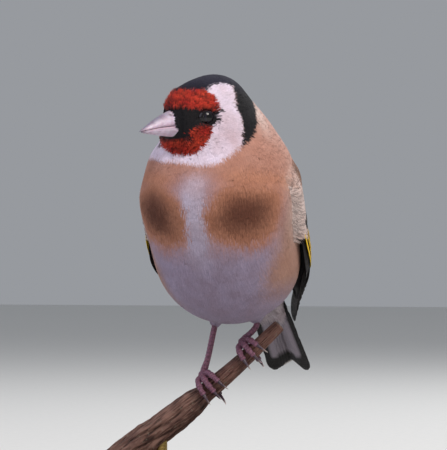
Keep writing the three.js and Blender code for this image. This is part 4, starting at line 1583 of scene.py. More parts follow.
@dataclass
class WingFringe:
    """Long soft feathers over the wing's front edge and shoulder, cream below and brown over its top."""

    seed: int = 23
    count: int = 3200
    barbs: int = 9
    front: tuple = ((-0.14, -0.3), (0.03, 0.3), (0.08, 0.56), (0.14, 0.8), (0.2, 0.95))
    top: tuple = ((-0.14, 0.9), (0.05, 0.66), (0.12, 0.42), (0.2, 0.3), (0.3, 0.16), (0.42, 0.05))
    heights: tuple = ((0.0, 1.0), (0.12, 1.35), (0.3, 1.75), (0.5, 1.8))

    def place(self, along: Array, across: Array, sink: Array) -> tuple[Array, Array]:
        """Points over the wing, or over the body past the wing's edges.

        Args:
            along: Shares from the shoulder to the tips.
            across: Shares from the back to the flank, past 0 and 1 beyond the wing.
            sink: How far under the fringe's surface, in mm.

        Returns:
            The points, and the outward directions there.
        """
        point = WINGS.sheet(along, across, np.zeros(len(along)))
        run = unit(mix(WINGS.upper.slope(np.zeros(1)), WINGS.lower.slope(np.zeros(1)), across[:, None]))
        point = point + (55 * np.minimum(along, 0))[:, None] * run
        here = FORM.body(point)
        out = FORM.outward(point, False)
        over = smooth(across, 1.1, 0.94) * smooth(across, -0.12, 0.06) * smooth(along, -0.1, 0.02)
        level = mix(0.1, here + np.interp(along, *np.array(self.heights).T), over) - sink
        return point + (level - here)[:, None] * out, out

    def build(self, name: str, mirror: bool, plumage: Material) -> Thing:
        """Makes one wing's fringe.

        Args:
            name: "left" or "right".
            mirror: Whether it is the mirrored one.
            plumage: The small feathers' finish.

        Returns:
            The piece.
        """
        rng = np.random.default_rng(self.seed + mirror)
        along, across = rng.uniform((-0.14, -0.12), (0.5, 1.16), (self.count, 2)).T
        front = (across > np.interp(along, *np.array(self.front).T) + 0.1) & (along < 0.165)
        top = (across < np.interp(along, *np.array(self.top).T) - 0.06) & (along < 0.42)
        kept = front | top
        along, across, front = along[kept], across[kept], front[kept]
        order = np.argsort(-along)
        along, across, front = along[order], across[order], front[order]
        long = rng.uniform(0.85, 1.15, len(along))
        down = np.where(front, 0.085, 0.1) * long
        inward = np.where(front, -0.13, 0.015) * long
        spine, outs = [], []
        for share, sink in ((0.0, 1.3), (0.4, 0.45), (0.72, 0.16), (1.0, 0.1)):
            point, out = self.place(along + down * share, across + inward * share, np.full(len(along), sink))
            spine.append(point)
            outs.append(out)
        spine, outs = np.stack(spine, 1), np.stack(outs, 1)
        half = rng.uniform(0.8, 1.05, len(along))
        points, faces, feather, place = strands(spine, outs, half, self.barbs, rng, ragged=0.14)
        where = spine[feather, 2] + rng.normal(0, 0.5, (len(along), 3))[feather]
        brown, cream = pigment(MARKINGS.mantle), pigment(MARKINGS.cream)
        uneven = 2.5 * wobble(where, 3.0, 2.0)
        pale = (smooth(across, 0.8, 1.0)[feather] * smooth(where[:, 2] + uneven, -7, 1)
                * smooth(where[:, 2] + uneven, 18, 8))
        over = smooth(across, 0.94, 0.75)[feather] * smooth(where[:, 2] + uneven, 22, 15)
        colour = mix(MARKINGS.colours(where), brown, over[:, None])
        colour = mix(colour, cream, 0.8 * pale[:, None])
        # painted shade: each fringe feather darker towards its root, where the feathers over it shade it
        tone = rng.normal(1, 0.05, len(along))[feather] * np.interp(place[:, 1], REACHES, (0.8, 0.9, 1, 1.05))
        if mirror:
            points, faces = mirrored(points, faces)
        thing = new_object("wing_fringe_" + name, points, faces, plumage)
        give_colours(thing, "marking", colour * tone[:, None])
        give_uv(thing, "OFBake", (np.stack([along + 0.16, across + 0.15], -1) / (0.7, 1.35))[feather]
                + BAKE_PATCH * (place - 0.5))
        return thing


@dataclass
class Tail(FlightFeathers):
    """Six pairs of tail feathers with their coverts."""

    length: float = 40.0
    arch: float = 1.1
    sway: float = 1.5
    pairs: int = 6
    rows: int = 40
    pair_lift: float = 1.1
    pair_drop: float = 0.47
    cream: str = "#e7ddd8"
    # the colour of the outer feathers' white windows: a grey, painted shade for the tail's shaded underside
    grey: str = "#9c949f"

    def place(self, along: Array, side: Array, lift: Array) -> Array:
        """Points of the tail by the share of its length, the side in mm and the lift over its middle."""
        half = mix(4.8, 6.6, along)
        down = self.arch * (side / half) ** 2
        return (TAIL_CUT + (GAP + along * self.length)[:, None] * TAIL_RUN
                + (side + self.sway * along)[:, None] * np.array([1.0, 0, 0])
                + (lift - down)[:, None] * TAIL_UP)

    def quill(self, pair: int, side: int) -> Feather:
        """One tail feather.

        Args:
            pair: The feather's pair, the middle one first.
            side: 1 for the bird's left, -1 for its right.

        Returns:
            The feather's middle line with its directions and half widths.
        """
        share = pair / (self.pairs - 1)
        s = np.linspace(0, 1, self.rows)
        reach = (self.length + 0.4 + 0.2 * share) / self.length
        lift = self.pair_lift - pair * self.pair_drop
        sides = side * mix(mix(0.5, 3, share), mix(1.25, 4.5, share), s)
        points = self.place(reach * s, sides, mix(lift * 0.6, lift, s))
        along = unit(np.gradient(points, axis=0))
        out = unit(TAIL_UP + np.array([1.0, 0, 0]) * (sides * 0.045)[:, None])
        swell = mix(0.62, 1, smooth(s, 0, 0.45))
        past = np.maximum(0, s - 0.93) / 0.074
        half = np.maximum(0.15, 2.0 * swell * np.sqrt(np.maximum(0, 1 - past ** 2)))
        return Feather(points, along, out, half, shaft=0.2, camber=0.06, thick=0.18, kind="tail", rank=share,
                       outer=-side)

    def colours(self, feather: Feather, place: Array, points: Array) -> Array:
        """Black with white tips, and the white windows of the outer feathers, given grey as painted shade.

        Args:
            feather: The feather.
            place: Share of its length and mm across it, at each point.
            points: The points.

        Returns:
            The colour of each point.
        """
        s, x = place[:, 0], place[:, 1]
        ragged = 0.015 * wobble(points, 0.9, 4.0)
        colour = np.broadcast_to(pigment(self.black), (len(s), 3)).copy()
        window = (smooth(s + ragged, 0.3, 0.4) * smooth(s + ragged, 0.885, 0.86)
                  * smooth(x + ragged, 0.12, -0.08)
                  * (x < 5) * (feather.rank > 0.1))
        # the white windows are painted grey, as painted shade
        colour = mix(colour, pigment(self.grey), window[:, None])
        white = smooth(s + ragged, 0.972, 0.988) * (feather.rank < 0.5)
        return mix(colour, pigment(self.tip), white[:, None])

    def build(self, plumage: Material) -> list[Thing]:
        """Makes the tail.

        Args:
            plumage: The small feathers' finish, for the coverts.

        Returns:
            The pieces.
        """
        rng = np.random.default_rng(self.seed + 2)
        material = FlightVane().material()
        quills = [self.quill(i, side) for i in range(self.pairs) for side in (1, -1)]
        tail = self.piece("tail_feathers", quills, material, rng, False)
        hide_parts("tail")
        return [tail, *self.coverts(plumage, rng)]

    def coverts(self, plumage: Material, rng: Random) -> list[Thing]:
        """Soft feathers over and under the tail's root.

        Args:
            plumage: The small feathers' finish.
            rng: Source of their places and lengths.

        Returns:
            The two pieces.
        """
        pieces = []
        for name, up, reach, thick in (("upper_tail_coverts", 1, 0.44, 3.6),
                                       ("under_tail_coverts", -1, 0.6, 4.6)):
            count = 130
            start = rng.uniform(-0.06, 0.24, count)
            turn = rng.uniform(-1, 1, count)
            length = rng.uniform(0.2, 0.34, count)
            length = np.minimum(length, reach - start * 0.8 - 0.1 * np.abs(turn))
            spine, outs = [], []
            for step in (0.0, 0.42, 0.73, 1.0):
                s = start + length * step
                fade = np.interp(s, (-0.05, reach), (1.0, 0.1))
                side = turn * 4.4 * mix(1.0, 0.75, s)
                lift = up * (0.9 + thick * fade * np.sqrt(np.maximum(1 - (turn * 0.85) ** 2, 0.05))) - 0.5
                lift = lift - up * (0.6 * (1 - step))
                spine.append(self.place(s, side, lift))
                outs.append(unit(up * TAIL_UP * np.sqrt(1 - (turn[:, None] * 0.8) ** 2)
                                 + np.array([1.0, 0, 0]) * turn[:, None] * 0.8))
            spine, outs = np.stack(spine, 1), np.stack(outs, 1)
            order = np.argsort(-start)
            half = rng.uniform(1.2, 1.7, count)
            points, faces, feather, place = strands(spine[order], outs[order], half, 14, rng)
            thing = new_object(name, points, faces, plumage)
            base = pigment(MARKINGS.rump if up > 0 else MARKINGS.vent)
            tone = rng.normal(1, 0.06, count)[feather]
            # painted shade: each covert half as bright at its root as at its tip, where the coverts over it
            # shade it
            tone = tone * np.interp(place[:, 1], (0, 0.7, 1), (0.5, 0.95, 1.05))
            give_colours(thing, "marking", base * tone[:, None])
            uv = np.stack([(turn[order] + 1.2) / 2.4, (start[order] + 0.1) / 0.5], -1)
            give_uv(thing, "OFBake", uv[feather] + BAKE_PATCH * (place - 0.5))
            pieces.append(thing)
        return pieces


# Bill and eyes


@dataclass(frozen=True)
class Horn(Finish):
    """Keratin of the bill: smooth, faintly waxy, fleshy pink-white with a slate ridge and tip."""

    name: str = "bill, smooth waxy keratin"
    roughness: float = 0.38
    ior: float = 1.54
    subsurface: float = 0.12
    coat: float = 0.15
    coat_roughness: float = 0.25

    def material(self) -> Material:
        """Builds the finish."""
        material, tree, surface = self.begin()
        marking = self.marking(tree)
        cloud = self.noise(tree, 1.3, 4.0)
        growth = self.noise(tree, 0.35, 2.0)
        shaded = self.blend(tree, Mixing.TIMES, self.spread(tree, cloud, 0, 1, 0.0, 0.6), marking,
                            rgba("#d9c4cc"))
        self.wear(tree, surface, shaded, growth, -0.08, 0.14)
        self.relief(tree, surface, growth, 0.03)
        return material


@dataclass
class Bill:
    """The two halves of the bill, lofted from the head to the tip."""

    root: float = 2.6
    tip: float = 16.9
    drop: float = -4.5
    steps: int = 44
    sides: int = 40
    ivory: str = "#d6c9dc"
    pink: str = "#c096ac"
    slate: str = "#5d566e"

    def section(self, forward: Array) -> tuple[Array, Array, Array, Array]:
        """Heights of ridge, mouth and keel, and the half width, at places along the bill."""
        along = (forward - self.root) / (self.tip - self.root)
        arch = np.sin(np.pi * np.clip(along, 0, 1))
        culmen = mix(2.6, self.drop + 0.1, along) + 0.9 * arch
        mouth = mix(-2.6, self.drop, along) + 0.45 * arch
        keel = mix(-5.8, self.drop - 0.1, np.maximum(0, along) ** 1.25) - 0.1 * arch
        half = 3.55 * np.maximum(0, 1 - along) ** 0.72 + 0.1
        return culmen, mouth, keel, half

    def half_bill(self, upper: bool) -> tuple[Array, Array, Array]:
        """Builds one half.

        Args:
            upper: Whether it is the upper one.

        Returns:
            Points, faces and colours.
        """
        end = self.tip if upper else self.tip - 0.7
        forward = mix(self.root, end - 0.02, np.linspace(0, 1, self.steps) ** 0.9)
        culmen, mouth, keel, half = self.section(forward)
        edge = mouth + (0.07 if upper else -0.07)
        crest = np.maximum(culmen, edge + 0.12) if upper else np.minimum(keel, edge - 0.12)
        half = half * (1.0 if upper else 0.98)
        half = half * smooth(forward, end + 0.25, end - 2.2) ** 0.25
        angle = np.linspace(0, 2 * np.pi, self.sides, endpoint=False)
        lift = np.sin(angle)
        power = 0.82 if upper else 0.9
        dome = np.sign(lift) * np.abs(lift) ** power
        facing = (lift > 0) == upper
        rise = np.where(facing, np.abs(crest - edge)[:, None] * dome, 0.0)
        ridge = 1 - (0.1 * bell(np.abs(lift), 0.75, 0.25) * facing)
        side = half[:, None] * np.cos(angle) * ridge
        f = np.broadcast_to(forward[:, None], side.shape)
        pit = 0.42 * bell(f, 7.3, 0.55) * bell(edge[:, None] + rise, 0.2, 0.42) * facing if upper else 0.0
        side = side - np.sign(side) * pit
        rings = head_point(f, side, edge[:, None] + rise)
        points, faces = rings_mesh(rings)
        height = (np.abs(rise) / np.maximum(np.abs(crest - edge)[:, None], 0.2)).ravel()
        along = ((f - self.root) / (self.tip - self.root)).ravel()
        ivory, pink, slate = (pigment(c) for c in (self.ivory, self.pink, self.slate))
        colour = np.broadcast_to(ivory, (len(height), 3))
        colour = mix(colour, pink, (0.6 * smooth(height, 0.35, 0.02))[:, None])
        if upper:
            dark = smooth(height, 0.5, 1.0) * smooth(along, 0.1, 0.6) * 0.85
        else:
            dark = smooth(height, 0.6, 1.0) * smooth(along, 0.5, 0.9) * 0.6
        dark = np.maximum(dark, smooth(along, 0.8, 1.0))
        colour = mix(colour, slate, (0.85 * dark)[:, None])
        if upper:
            # a dark spot painted in the nostril's shallow pit: painted shade for the opening
            hole = bell(along, (7.3 - self.root) / 14.3, 0.03)
            hole = hole * bell((edge[:, None] + rise).ravel(), 0.2, 0.3)
            colour = mix(colour, pigment("#3b2a30"), (0.9 * hole)[:, None])
        return points, faces, with_ends(colour)

    def bristles(self, plumage: Material) -> Thing:
        """Makes the black feathers that point forwards over the bill's base.

        Args:
            plumage: The small feathers' finish.

        Returns:
            The piece.
        """
        rng = np.random.default_rng(31)
        count = 420
        turn = rng.uniform(-np.pi, np.pi, count)
        reach = np.interp(np.abs(turn), (0, 0.9, 1.6, 2.1, 3.2), (6.9, 6.8, 7.1, 5.3, 5.0))
        end = reach + rng.uniform(-1.1, 0.25, count)
        spine, outs = [], []
        for share, lift in ((0.0, -0.5), (0.42, 0.16), (0.73, 0.2), (1.0, 0.1)):
            forward = end - 2.1 * (1 - share)
            culmen, mouth, keel, half = self.section(forward)
            tall = np.where(np.abs(turn) < np.pi / 2, culmen - mouth, mouth - keel) + lift
            side, up = np.sin(turn), np.cos(turn)
            spine.append(head_point(forward, (half + lift) * side, mouth + tall * up))
            outs.append(side[:, None] * LEFTWARD + up[:, None] * UPWARD)
        half = np.full(count, 0.22)
        points, faces, feather, place = strands(np.stack(spine, 1), np.stack(outs, 1), half, 3, rng,
                                                ragged=0.1)
        thing = new_object("bill_bristles", points, faces, plumage)
        black = pigment(MARKINGS.black)
        give_colours(thing, "marking",
                     np.broadcast_to(black, points.shape) * rng.uniform(0.7, 1.6, count)[feather, None])
        spot = np.stack([0.5 + 0.45 * turn / np.pi, (end - 5) / 3], -1)
        give_uv(thing, "OFBake", spot[feather] + BAKE_PATCH * (place - 0.5))
        return thing

    def build(self, plumage: Material) -> list[Thing]:
        """Makes both halves and the feathers over their base.

        Args:
            plumage: The small feathers' finish.

        Returns:
            The pieces.
        """
        material = Horn().material()
        pieces = []
        for name, upper in (("upper", True), ("lower", False)):
            points, faces, colour = self.half_bill(upper)
            thing = new_object("bill_" + name + "_horn", points, faces, material)
            give_colours(thing, "marking", colour)
            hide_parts("bill_" + name)
            pieces.append(thing)
        return [*pieces, self.bristles(plumage)]


@dataclass(frozen=True)
class WetEye(Finish):
    """The eyeball: near-black brown iris round a black pupil under a clear wet cornea, so mirror bright."""

    name: str = "eye, wet cornea over dark iris"
    roughness: float = 0.15
    ior: float = 1.34
    coat: float = 0.35
    coat_roughness: float = 0.02

    def material(self) -> Material:
        """Builds the finish."""
        material, tree, surface = self.begin()
        marking = self.marking(tree)
        fibre = self.noise(tree, 0.25, 3.0)
        tinted = self.blend(tree, Mixing.TIMES, self.spread(tree, fibre, 0, 1, 0.0, 0.7), marking,
                            rgba("#8c7f80"))
        tree.links.new(tinted, surface.inputs["Base Color"])
        return material


@dataclass(frozen=True)
class LidSkin(Finish):
    """The bare rims of the lids: dark, dry, finely beaded skin."""

    name: str = "eyelid, fine dark skin"
    roughness: float = 0.55
    colour: str = "#09080b"
    worn: str = "#17151c"

    def material(self) -> Material:
        """Builds the finish."""
        material, tree, surface = self.begin()
        bead = add_node(tree, "TexVoronoi", {"Scale": per_mm(0.22)},
                        {"Vector": self.place(tree)}).outputs["Distance"]
        tinted = self.blend(tree, Mixing.OVER, self.spread(tree, bead, 0.1, 0.6), rgba(self.worn),
                            rgba(self.colour))
        tree.links.new(tinted, surface.inputs["Base Color"])
        self.relief(tree, surface, self.spread(tree, bead, 0, 0.6, 1, 0), 0.05)
        return material


@dataclass
class Eye:
    """One eye: the ball with its raised cornea, and the two lids that meet round it."""

    radius: float = 2.5
    forward: float = -0.75
    side: float = 6.1
    height: float = -0.45
    lid_radius: float = 1.56
    beads: int = 22
    bead_rise: float = 0.13
    corner: float = 0.14
    lid_thick: float = 0.17
    lid_side: float = 1.93
    pupil: float = 0.85
    toe_in: float = 8.0

    def axis(self, side: int) -> tuple[Array, Array, Array]:
        """The directions out of the eye, forwards and up."""
        angle = math.radians(self.toe_in)
        out = side * math.cos(angle) * LEFTWARD + math.sin(angle) * FORWARD
        front = unit(FORWARD - dot(FORWARD, out) * out)
        return out, front, UPWARD

    def ball(self, side: int) -> tuple[Array, Array, Array]:
        """Builds the eyeball.

        Args:
            side: 1 for the left, -1 for the right.

        Returns:
            Points, faces and colours.
        """
        out, front, up = self.axis(side)
        middle = head_point(self.forward, side * self.side, self.height)
        polar = np.linspace(0.02, math.pi - 0.02, 40)
        bulge = 0.18 * smooth(polar, 0.95, 0.2)
        angle = np.linspace(0, 2 * np.pi, 48, endpoint=False)
        r = (self.radius + bulge)[:, None]
        across = r * np.sin(polar)[:, None]
        rings = (middle + (r * np.cos(polar)[:, None])[..., None] * out
                 + (across * np.cos(angle))[..., None] * front + (across * np.sin(angle))[..., None] * up)
        points, faces = rings_mesh(rings)
        width = np.repeat(self.radius * np.sin(polar), 48)
        ahead = np.repeat(polar < math.pi / 2, 48)
        black, iris, ring = (pigment(c) for c in ("#040405", "#170f11", "#2b2a3c"))
        colour = mix(black, iris, smooth(width, self.pupil - 0.1, self.pupil + 0.1)[:, None])
        # a slate-blue ring at the iris' outer edge: partly the iris' own colour, partly a painted reflection
        # in the cornea
        colour = mix(colour, ring, (0.7 * bell(width, 1.28, 0.16))[:, None])
        colour = np.where(ahead[:, None], colour, black)
        return points, faces, with_ends(colour)

    def lids(self, side: int) -> tuple[Array, Array]:
        """Builds the ring of the lids, drawn to a point before and behind the eye.

        Args:
            side: 1 for the bird's left eye, -1 for its right one.

        Returns:
            The ring's points and faces.
        """
        out, front, up = self.axis(side)
        middle = head_point(self.forward + 0.15, side * (self.side + self.lid_side), self.height)
        angle = np.linspace(0, 2 * np.pi, 72, endpoint=False)
        corner = 1 + self.corner * np.abs(np.cos(angle)) ** 8
        upper = np.where(np.sin(angle) > 0, 0.93, 0.97)
        line = (middle + (self.lid_radius * corner * np.cos(angle))[:, None] * front
                + (self.lid_radius * upper * np.sin(angle))[:, None] * up
                - (0.16 * np.cos(angle) ** 2)[:, None] * out)
        beads = 1 + self.bead_rise * np.cos(self.beads * angle)
        across = np.linspace(0, 2 * np.pi, 10, endpoint=False)
        radial = unit(np.cos(angle)[:, None] * front + np.sin(angle)[:, None] * up)
        thick = (self.lid_thick * beads)[:, None]
        rings = (line[:, None] + (thick * np.cos(across))[..., None] * radial[:, None]
                 + (thick * 1.1 * np.sin(across))[..., None] * out)
        return rings_mesh(rings, True)

    def build(self) -> list[Thing]:
        """Makes both eyes.

        Returns:
            The pieces.
        """
        wet, rim = WetEye().material(), LidSkin().material()
        pieces = []
        for name, side in (("left", 1), ("right", -1)):
            points, faces, colour = self.ball(side)
            ball = new_object("eyeball_" + name, points, faces, wet)
            give_colours(ball, "marking", colour)
            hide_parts("eye_" + name)
            lids = new_object("eyelids_" + name, *self.lids(side), rim)
            pieces += [ball, lids]
        return pieces


# Perch, feet and claws


@dataclass(frozen=True)
class WeatheredWood(Finish):
    """A dead branch: the thick length barkless, dry and fibrous, the thin one in thin red-brown bark.

    Its fibres run along it, 0.5 mm wide, with lighter worn crests and near-black grooves.
    """

    name: str = "dead branch, weathered fibrous wood"
    roughness: float = 0.85
    fibre: float = 0.5

    def material(self) -> Material:
        """Builds the finish."""
        material, tree, surface = self.begin()
        marking = self.marking(tree)
        where = self.place(tree, (1.0, 0.09, 1.0), "wood")
        fibres = self.noise(tree, self.fibre, 5.0, where, 0.3, 0.7)
        blotch = self.noise(tree, 5.0, 4.0)
        speck = self.noise(tree, 0.8, 2.0, None, 0.6, 0.7)
        light = self.blend(tree, Mixing.OVER, self.spread(tree, fibres, 0, 1, 0.0, 0.75), marking,
                           rgba("#a07d6e"))
        dark = self.blend(tree, Mixing.TIMES, self.spread(tree, fibres, 0.45, 0.0, 0.0, 0.9), light,
                          rgba("#3a2524"))
        stained = self.blend(tree, Mixing.TIMES, self.spread(tree, blotch, 0, 1, 0.0, 0.7), dark,
                             rgba("#7c5f5c"))
        spotted = self.blend(tree, Mixing.OVER, self.spread(tree, speck, 0, 1, 0.0, 0.3), stained,
                             rgba("#8d8a78"))
        self.wear(tree, surface, spotted, fibres, 0.1, -0.12)
        self.relief(tree, surface, fibres, 0.35)
        return material


@dataclass
class Perch:
    """The cut length of branch, thick below and slim above."""

    line = Curve([
        (-33, 3.5, -64.6), (-22.6, 5, -56.6), (-14.2, 6.4, -50.2), (-5.6, 8.1, -42.9),
        (0.9, 9.3, -37.2), (6.9, 10.4, -31.6), (10.4, 11.1, -28.2), (12.7, 11.5, -25.9),
    ])
    step: float = 0.5
    rings: int = 320
    sides: int = 96
    heart: str = "#7a5549"
    bark: str = "#6b3d35"
    cut: str = "#c3a183"

    def radius(self, share: Array | float) -> Array:
        """The wood's radius by the share of its length."""
        thick = mix(4.5, 3.55, share / self.step)
        slim = mix(2.75, 1.7, (share - self.step) / (1 - self.step))
        return mix(thick, slim, smooth(share, self.step - 0.03, self.step + 0.05))

    def frame(self, share: Array | float) -> tuple[Array, Array, Array, Array]:
        """The middle, axis, front and top of the wood at a share of its length."""
        inner = self.line.even(share)
        axis = self.line.slope(inner)
        front = unit(np.array([0, -1.0, 0]) + axis * axis[..., 1:2])
        top = np.cross(front, axis)
        top = np.where(top[..., 2:] < 0, -top, top)
        return self.line.at(inner), axis, front, top

    def beside(self, share: Array, degrees: Array, height: Array | float) -> Array:
        """Points round the wood, in degrees from its top towards its front, at a height over it."""
        middle, _, front, top = self.frame(share)
        reach = (self.radius(np.asarray(share, float)) + height)[..., None]
        angle = np.radians(degrees)[..., None]
        return middle + reach * (np.cos(angle) * top + np.sin(angle) * front)

    def build(self) -> Thing:
        """Makes the branch.

        Returns:
            The piece.
        """
        rng = np.random.default_rng(5)
        share = np.linspace(0, 1, self.rings)
        angle = np.linspace(0, 2 * np.pi, self.sides, endpoint=False)
        s, a = np.meshgrid(share, angle, indexing="ij")
        radius = self.radius(s)
        worn = 1 - 0.75 * smooth(s, self.step - 0.05, self.step + 0.06)
        grain = 0.16 * np.sin(5 * a + 6 * s) + 0.1 * np.sin(9 * a - 14 * s + 1)
        groove = np.zeros_like(s)
        for _ in range(90):
            at, turn = rng.uniform(0, 1), rng.uniform(0, 2 * np.pi)
            reach, wide = rng.uniform(0.05, 0.16), rng.uniform(0.05, 0.13)
            drift = 0.4 * np.sin(9 * (s - at))
            off = np.angle(np.exp(1j * (a - turn - drift)))
            groove += rng.uniform(0.12, 0.5) * np.exp(-(off / wide) ** 2) * smooth(np.abs(s - at), reach,
                                                                                   reach * 0.6)
        knot = (0.35 * bell(s, 0.83, 0.02) * (0.6 + 0.4 * np.cos(a - 1.2)) + 0.3 * bell(s, 0.21, 0.03)
                + 0.5 * bell(s, 0.72, 0.012) * bell(np.angle(np.exp(1j * (a - 4.4))), 0, 0.5))
        radius = radius + (grain * worn + knot) * radius / 4 - np.minimum(groove, 0.55) * worn
        radius = radius + 0.05 * np.sin(23 * a + 60 * s) * worn
        radius = radius - 0.25 * smooth(s, 0.004, 0.0) - 0.2 * smooth(s, 0.996, 1.0)
        middle, _, front, top = self.frame(share)
        out = np.cos(angle)[None, :, None] * top[:, None] + np.sin(angle)[None, :, None] * front[:, None]
        points, faces = rings_mesh(middle[:, None] + radius[..., None] * out)
        thing = new_object("branch", points, faces, WeatheredWood().material())
        heart, bark = pigment(self.heart), pigment(self.bark)
        colour = mix(heart, bark, smooth(s, self.step - 0.03, self.step + 0.03)[..., None])
        colour = colour * (1 - 0.75 * np.clip(groove * worn, 0, 1) - 0.6 * bell(s, self.step, 0.012))[...,
                                                                                                      None]
        bud = bell(s, 0.72, 0.012) * bell(np.angle(np.exp(1j * (a - 4.4))), 0, 0.45)
        colour = mix(colour, pigment("#1e1414"), (0.9 * bud)[..., None])
        colour = colour.reshape(-1, 3)
        ends = np.array([linear(self.cut)] * 2)
        give_colours(thing, "marking", np.concatenate([np.clip(colour, 0.003, 1), ends]))
        give_uv(thing, "wood", np.concatenate([
            np.stack([(a * radius.mean()).ravel() * MM, (s * self.line.length).ravel() * MM], -1),
            [[0, 0], [0, 0]]]))
        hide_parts("perch")
        return thing


PERCH = Perch()


@dataclass(frozen=True)
class Scute(Finish):
    """Bare legs and toes: dry overlapping keratin plates, purplish pink, darker in the creases."""

    name: str = "leg, dry scuted skin"
    roughness: float = 0.5
    ior: float = 1.5
    subsurface: float = 0.1

    def material(self) -> Material:
        """Builds the finish."""
        material, tree, surface = self.begin()
        marking = self.marking(tree)
        fine = self.noise(tree, 0.3, 4.0)
        dusty = self.blend(tree, Mixing.TIMES, self.spread(tree, fine, 0, 1, 0.0, 0.7), marking,
                           rgba("#a5838a"))
        self.wear(tree, surface, dusty, fine, -0.08, 0.2)
        self.relief(tree, surface, fine, 0.06)
        return material


@dataclass(frozen=True)
class ClawHorn(Finish):
    """Claws: hard polished horn, grey-brown at the root and pale at the point."""

    name: str = "claw, polished horn"
    roughness: float = 0.3
    ior: float = 1.54
    subsurface: float = 0.1

    def material(self) -> Material:
        """Builds the finish."""
        material, tree, surface = self.begin()
        marking = self.marking(tree)
        fine = self.noise(tree, 0.2, 3.0)
        worn = self.blend(tree, Mixing.TIMES, self.spread(tree, fine, 0, 1, 0.0, 0.5), marking,
                          rgba("#b5a4a6"))
        tree.links.new(worn, surface.inputs["Base Color"])
        self.relief(tree, surface, fine, 0.02)
        return material


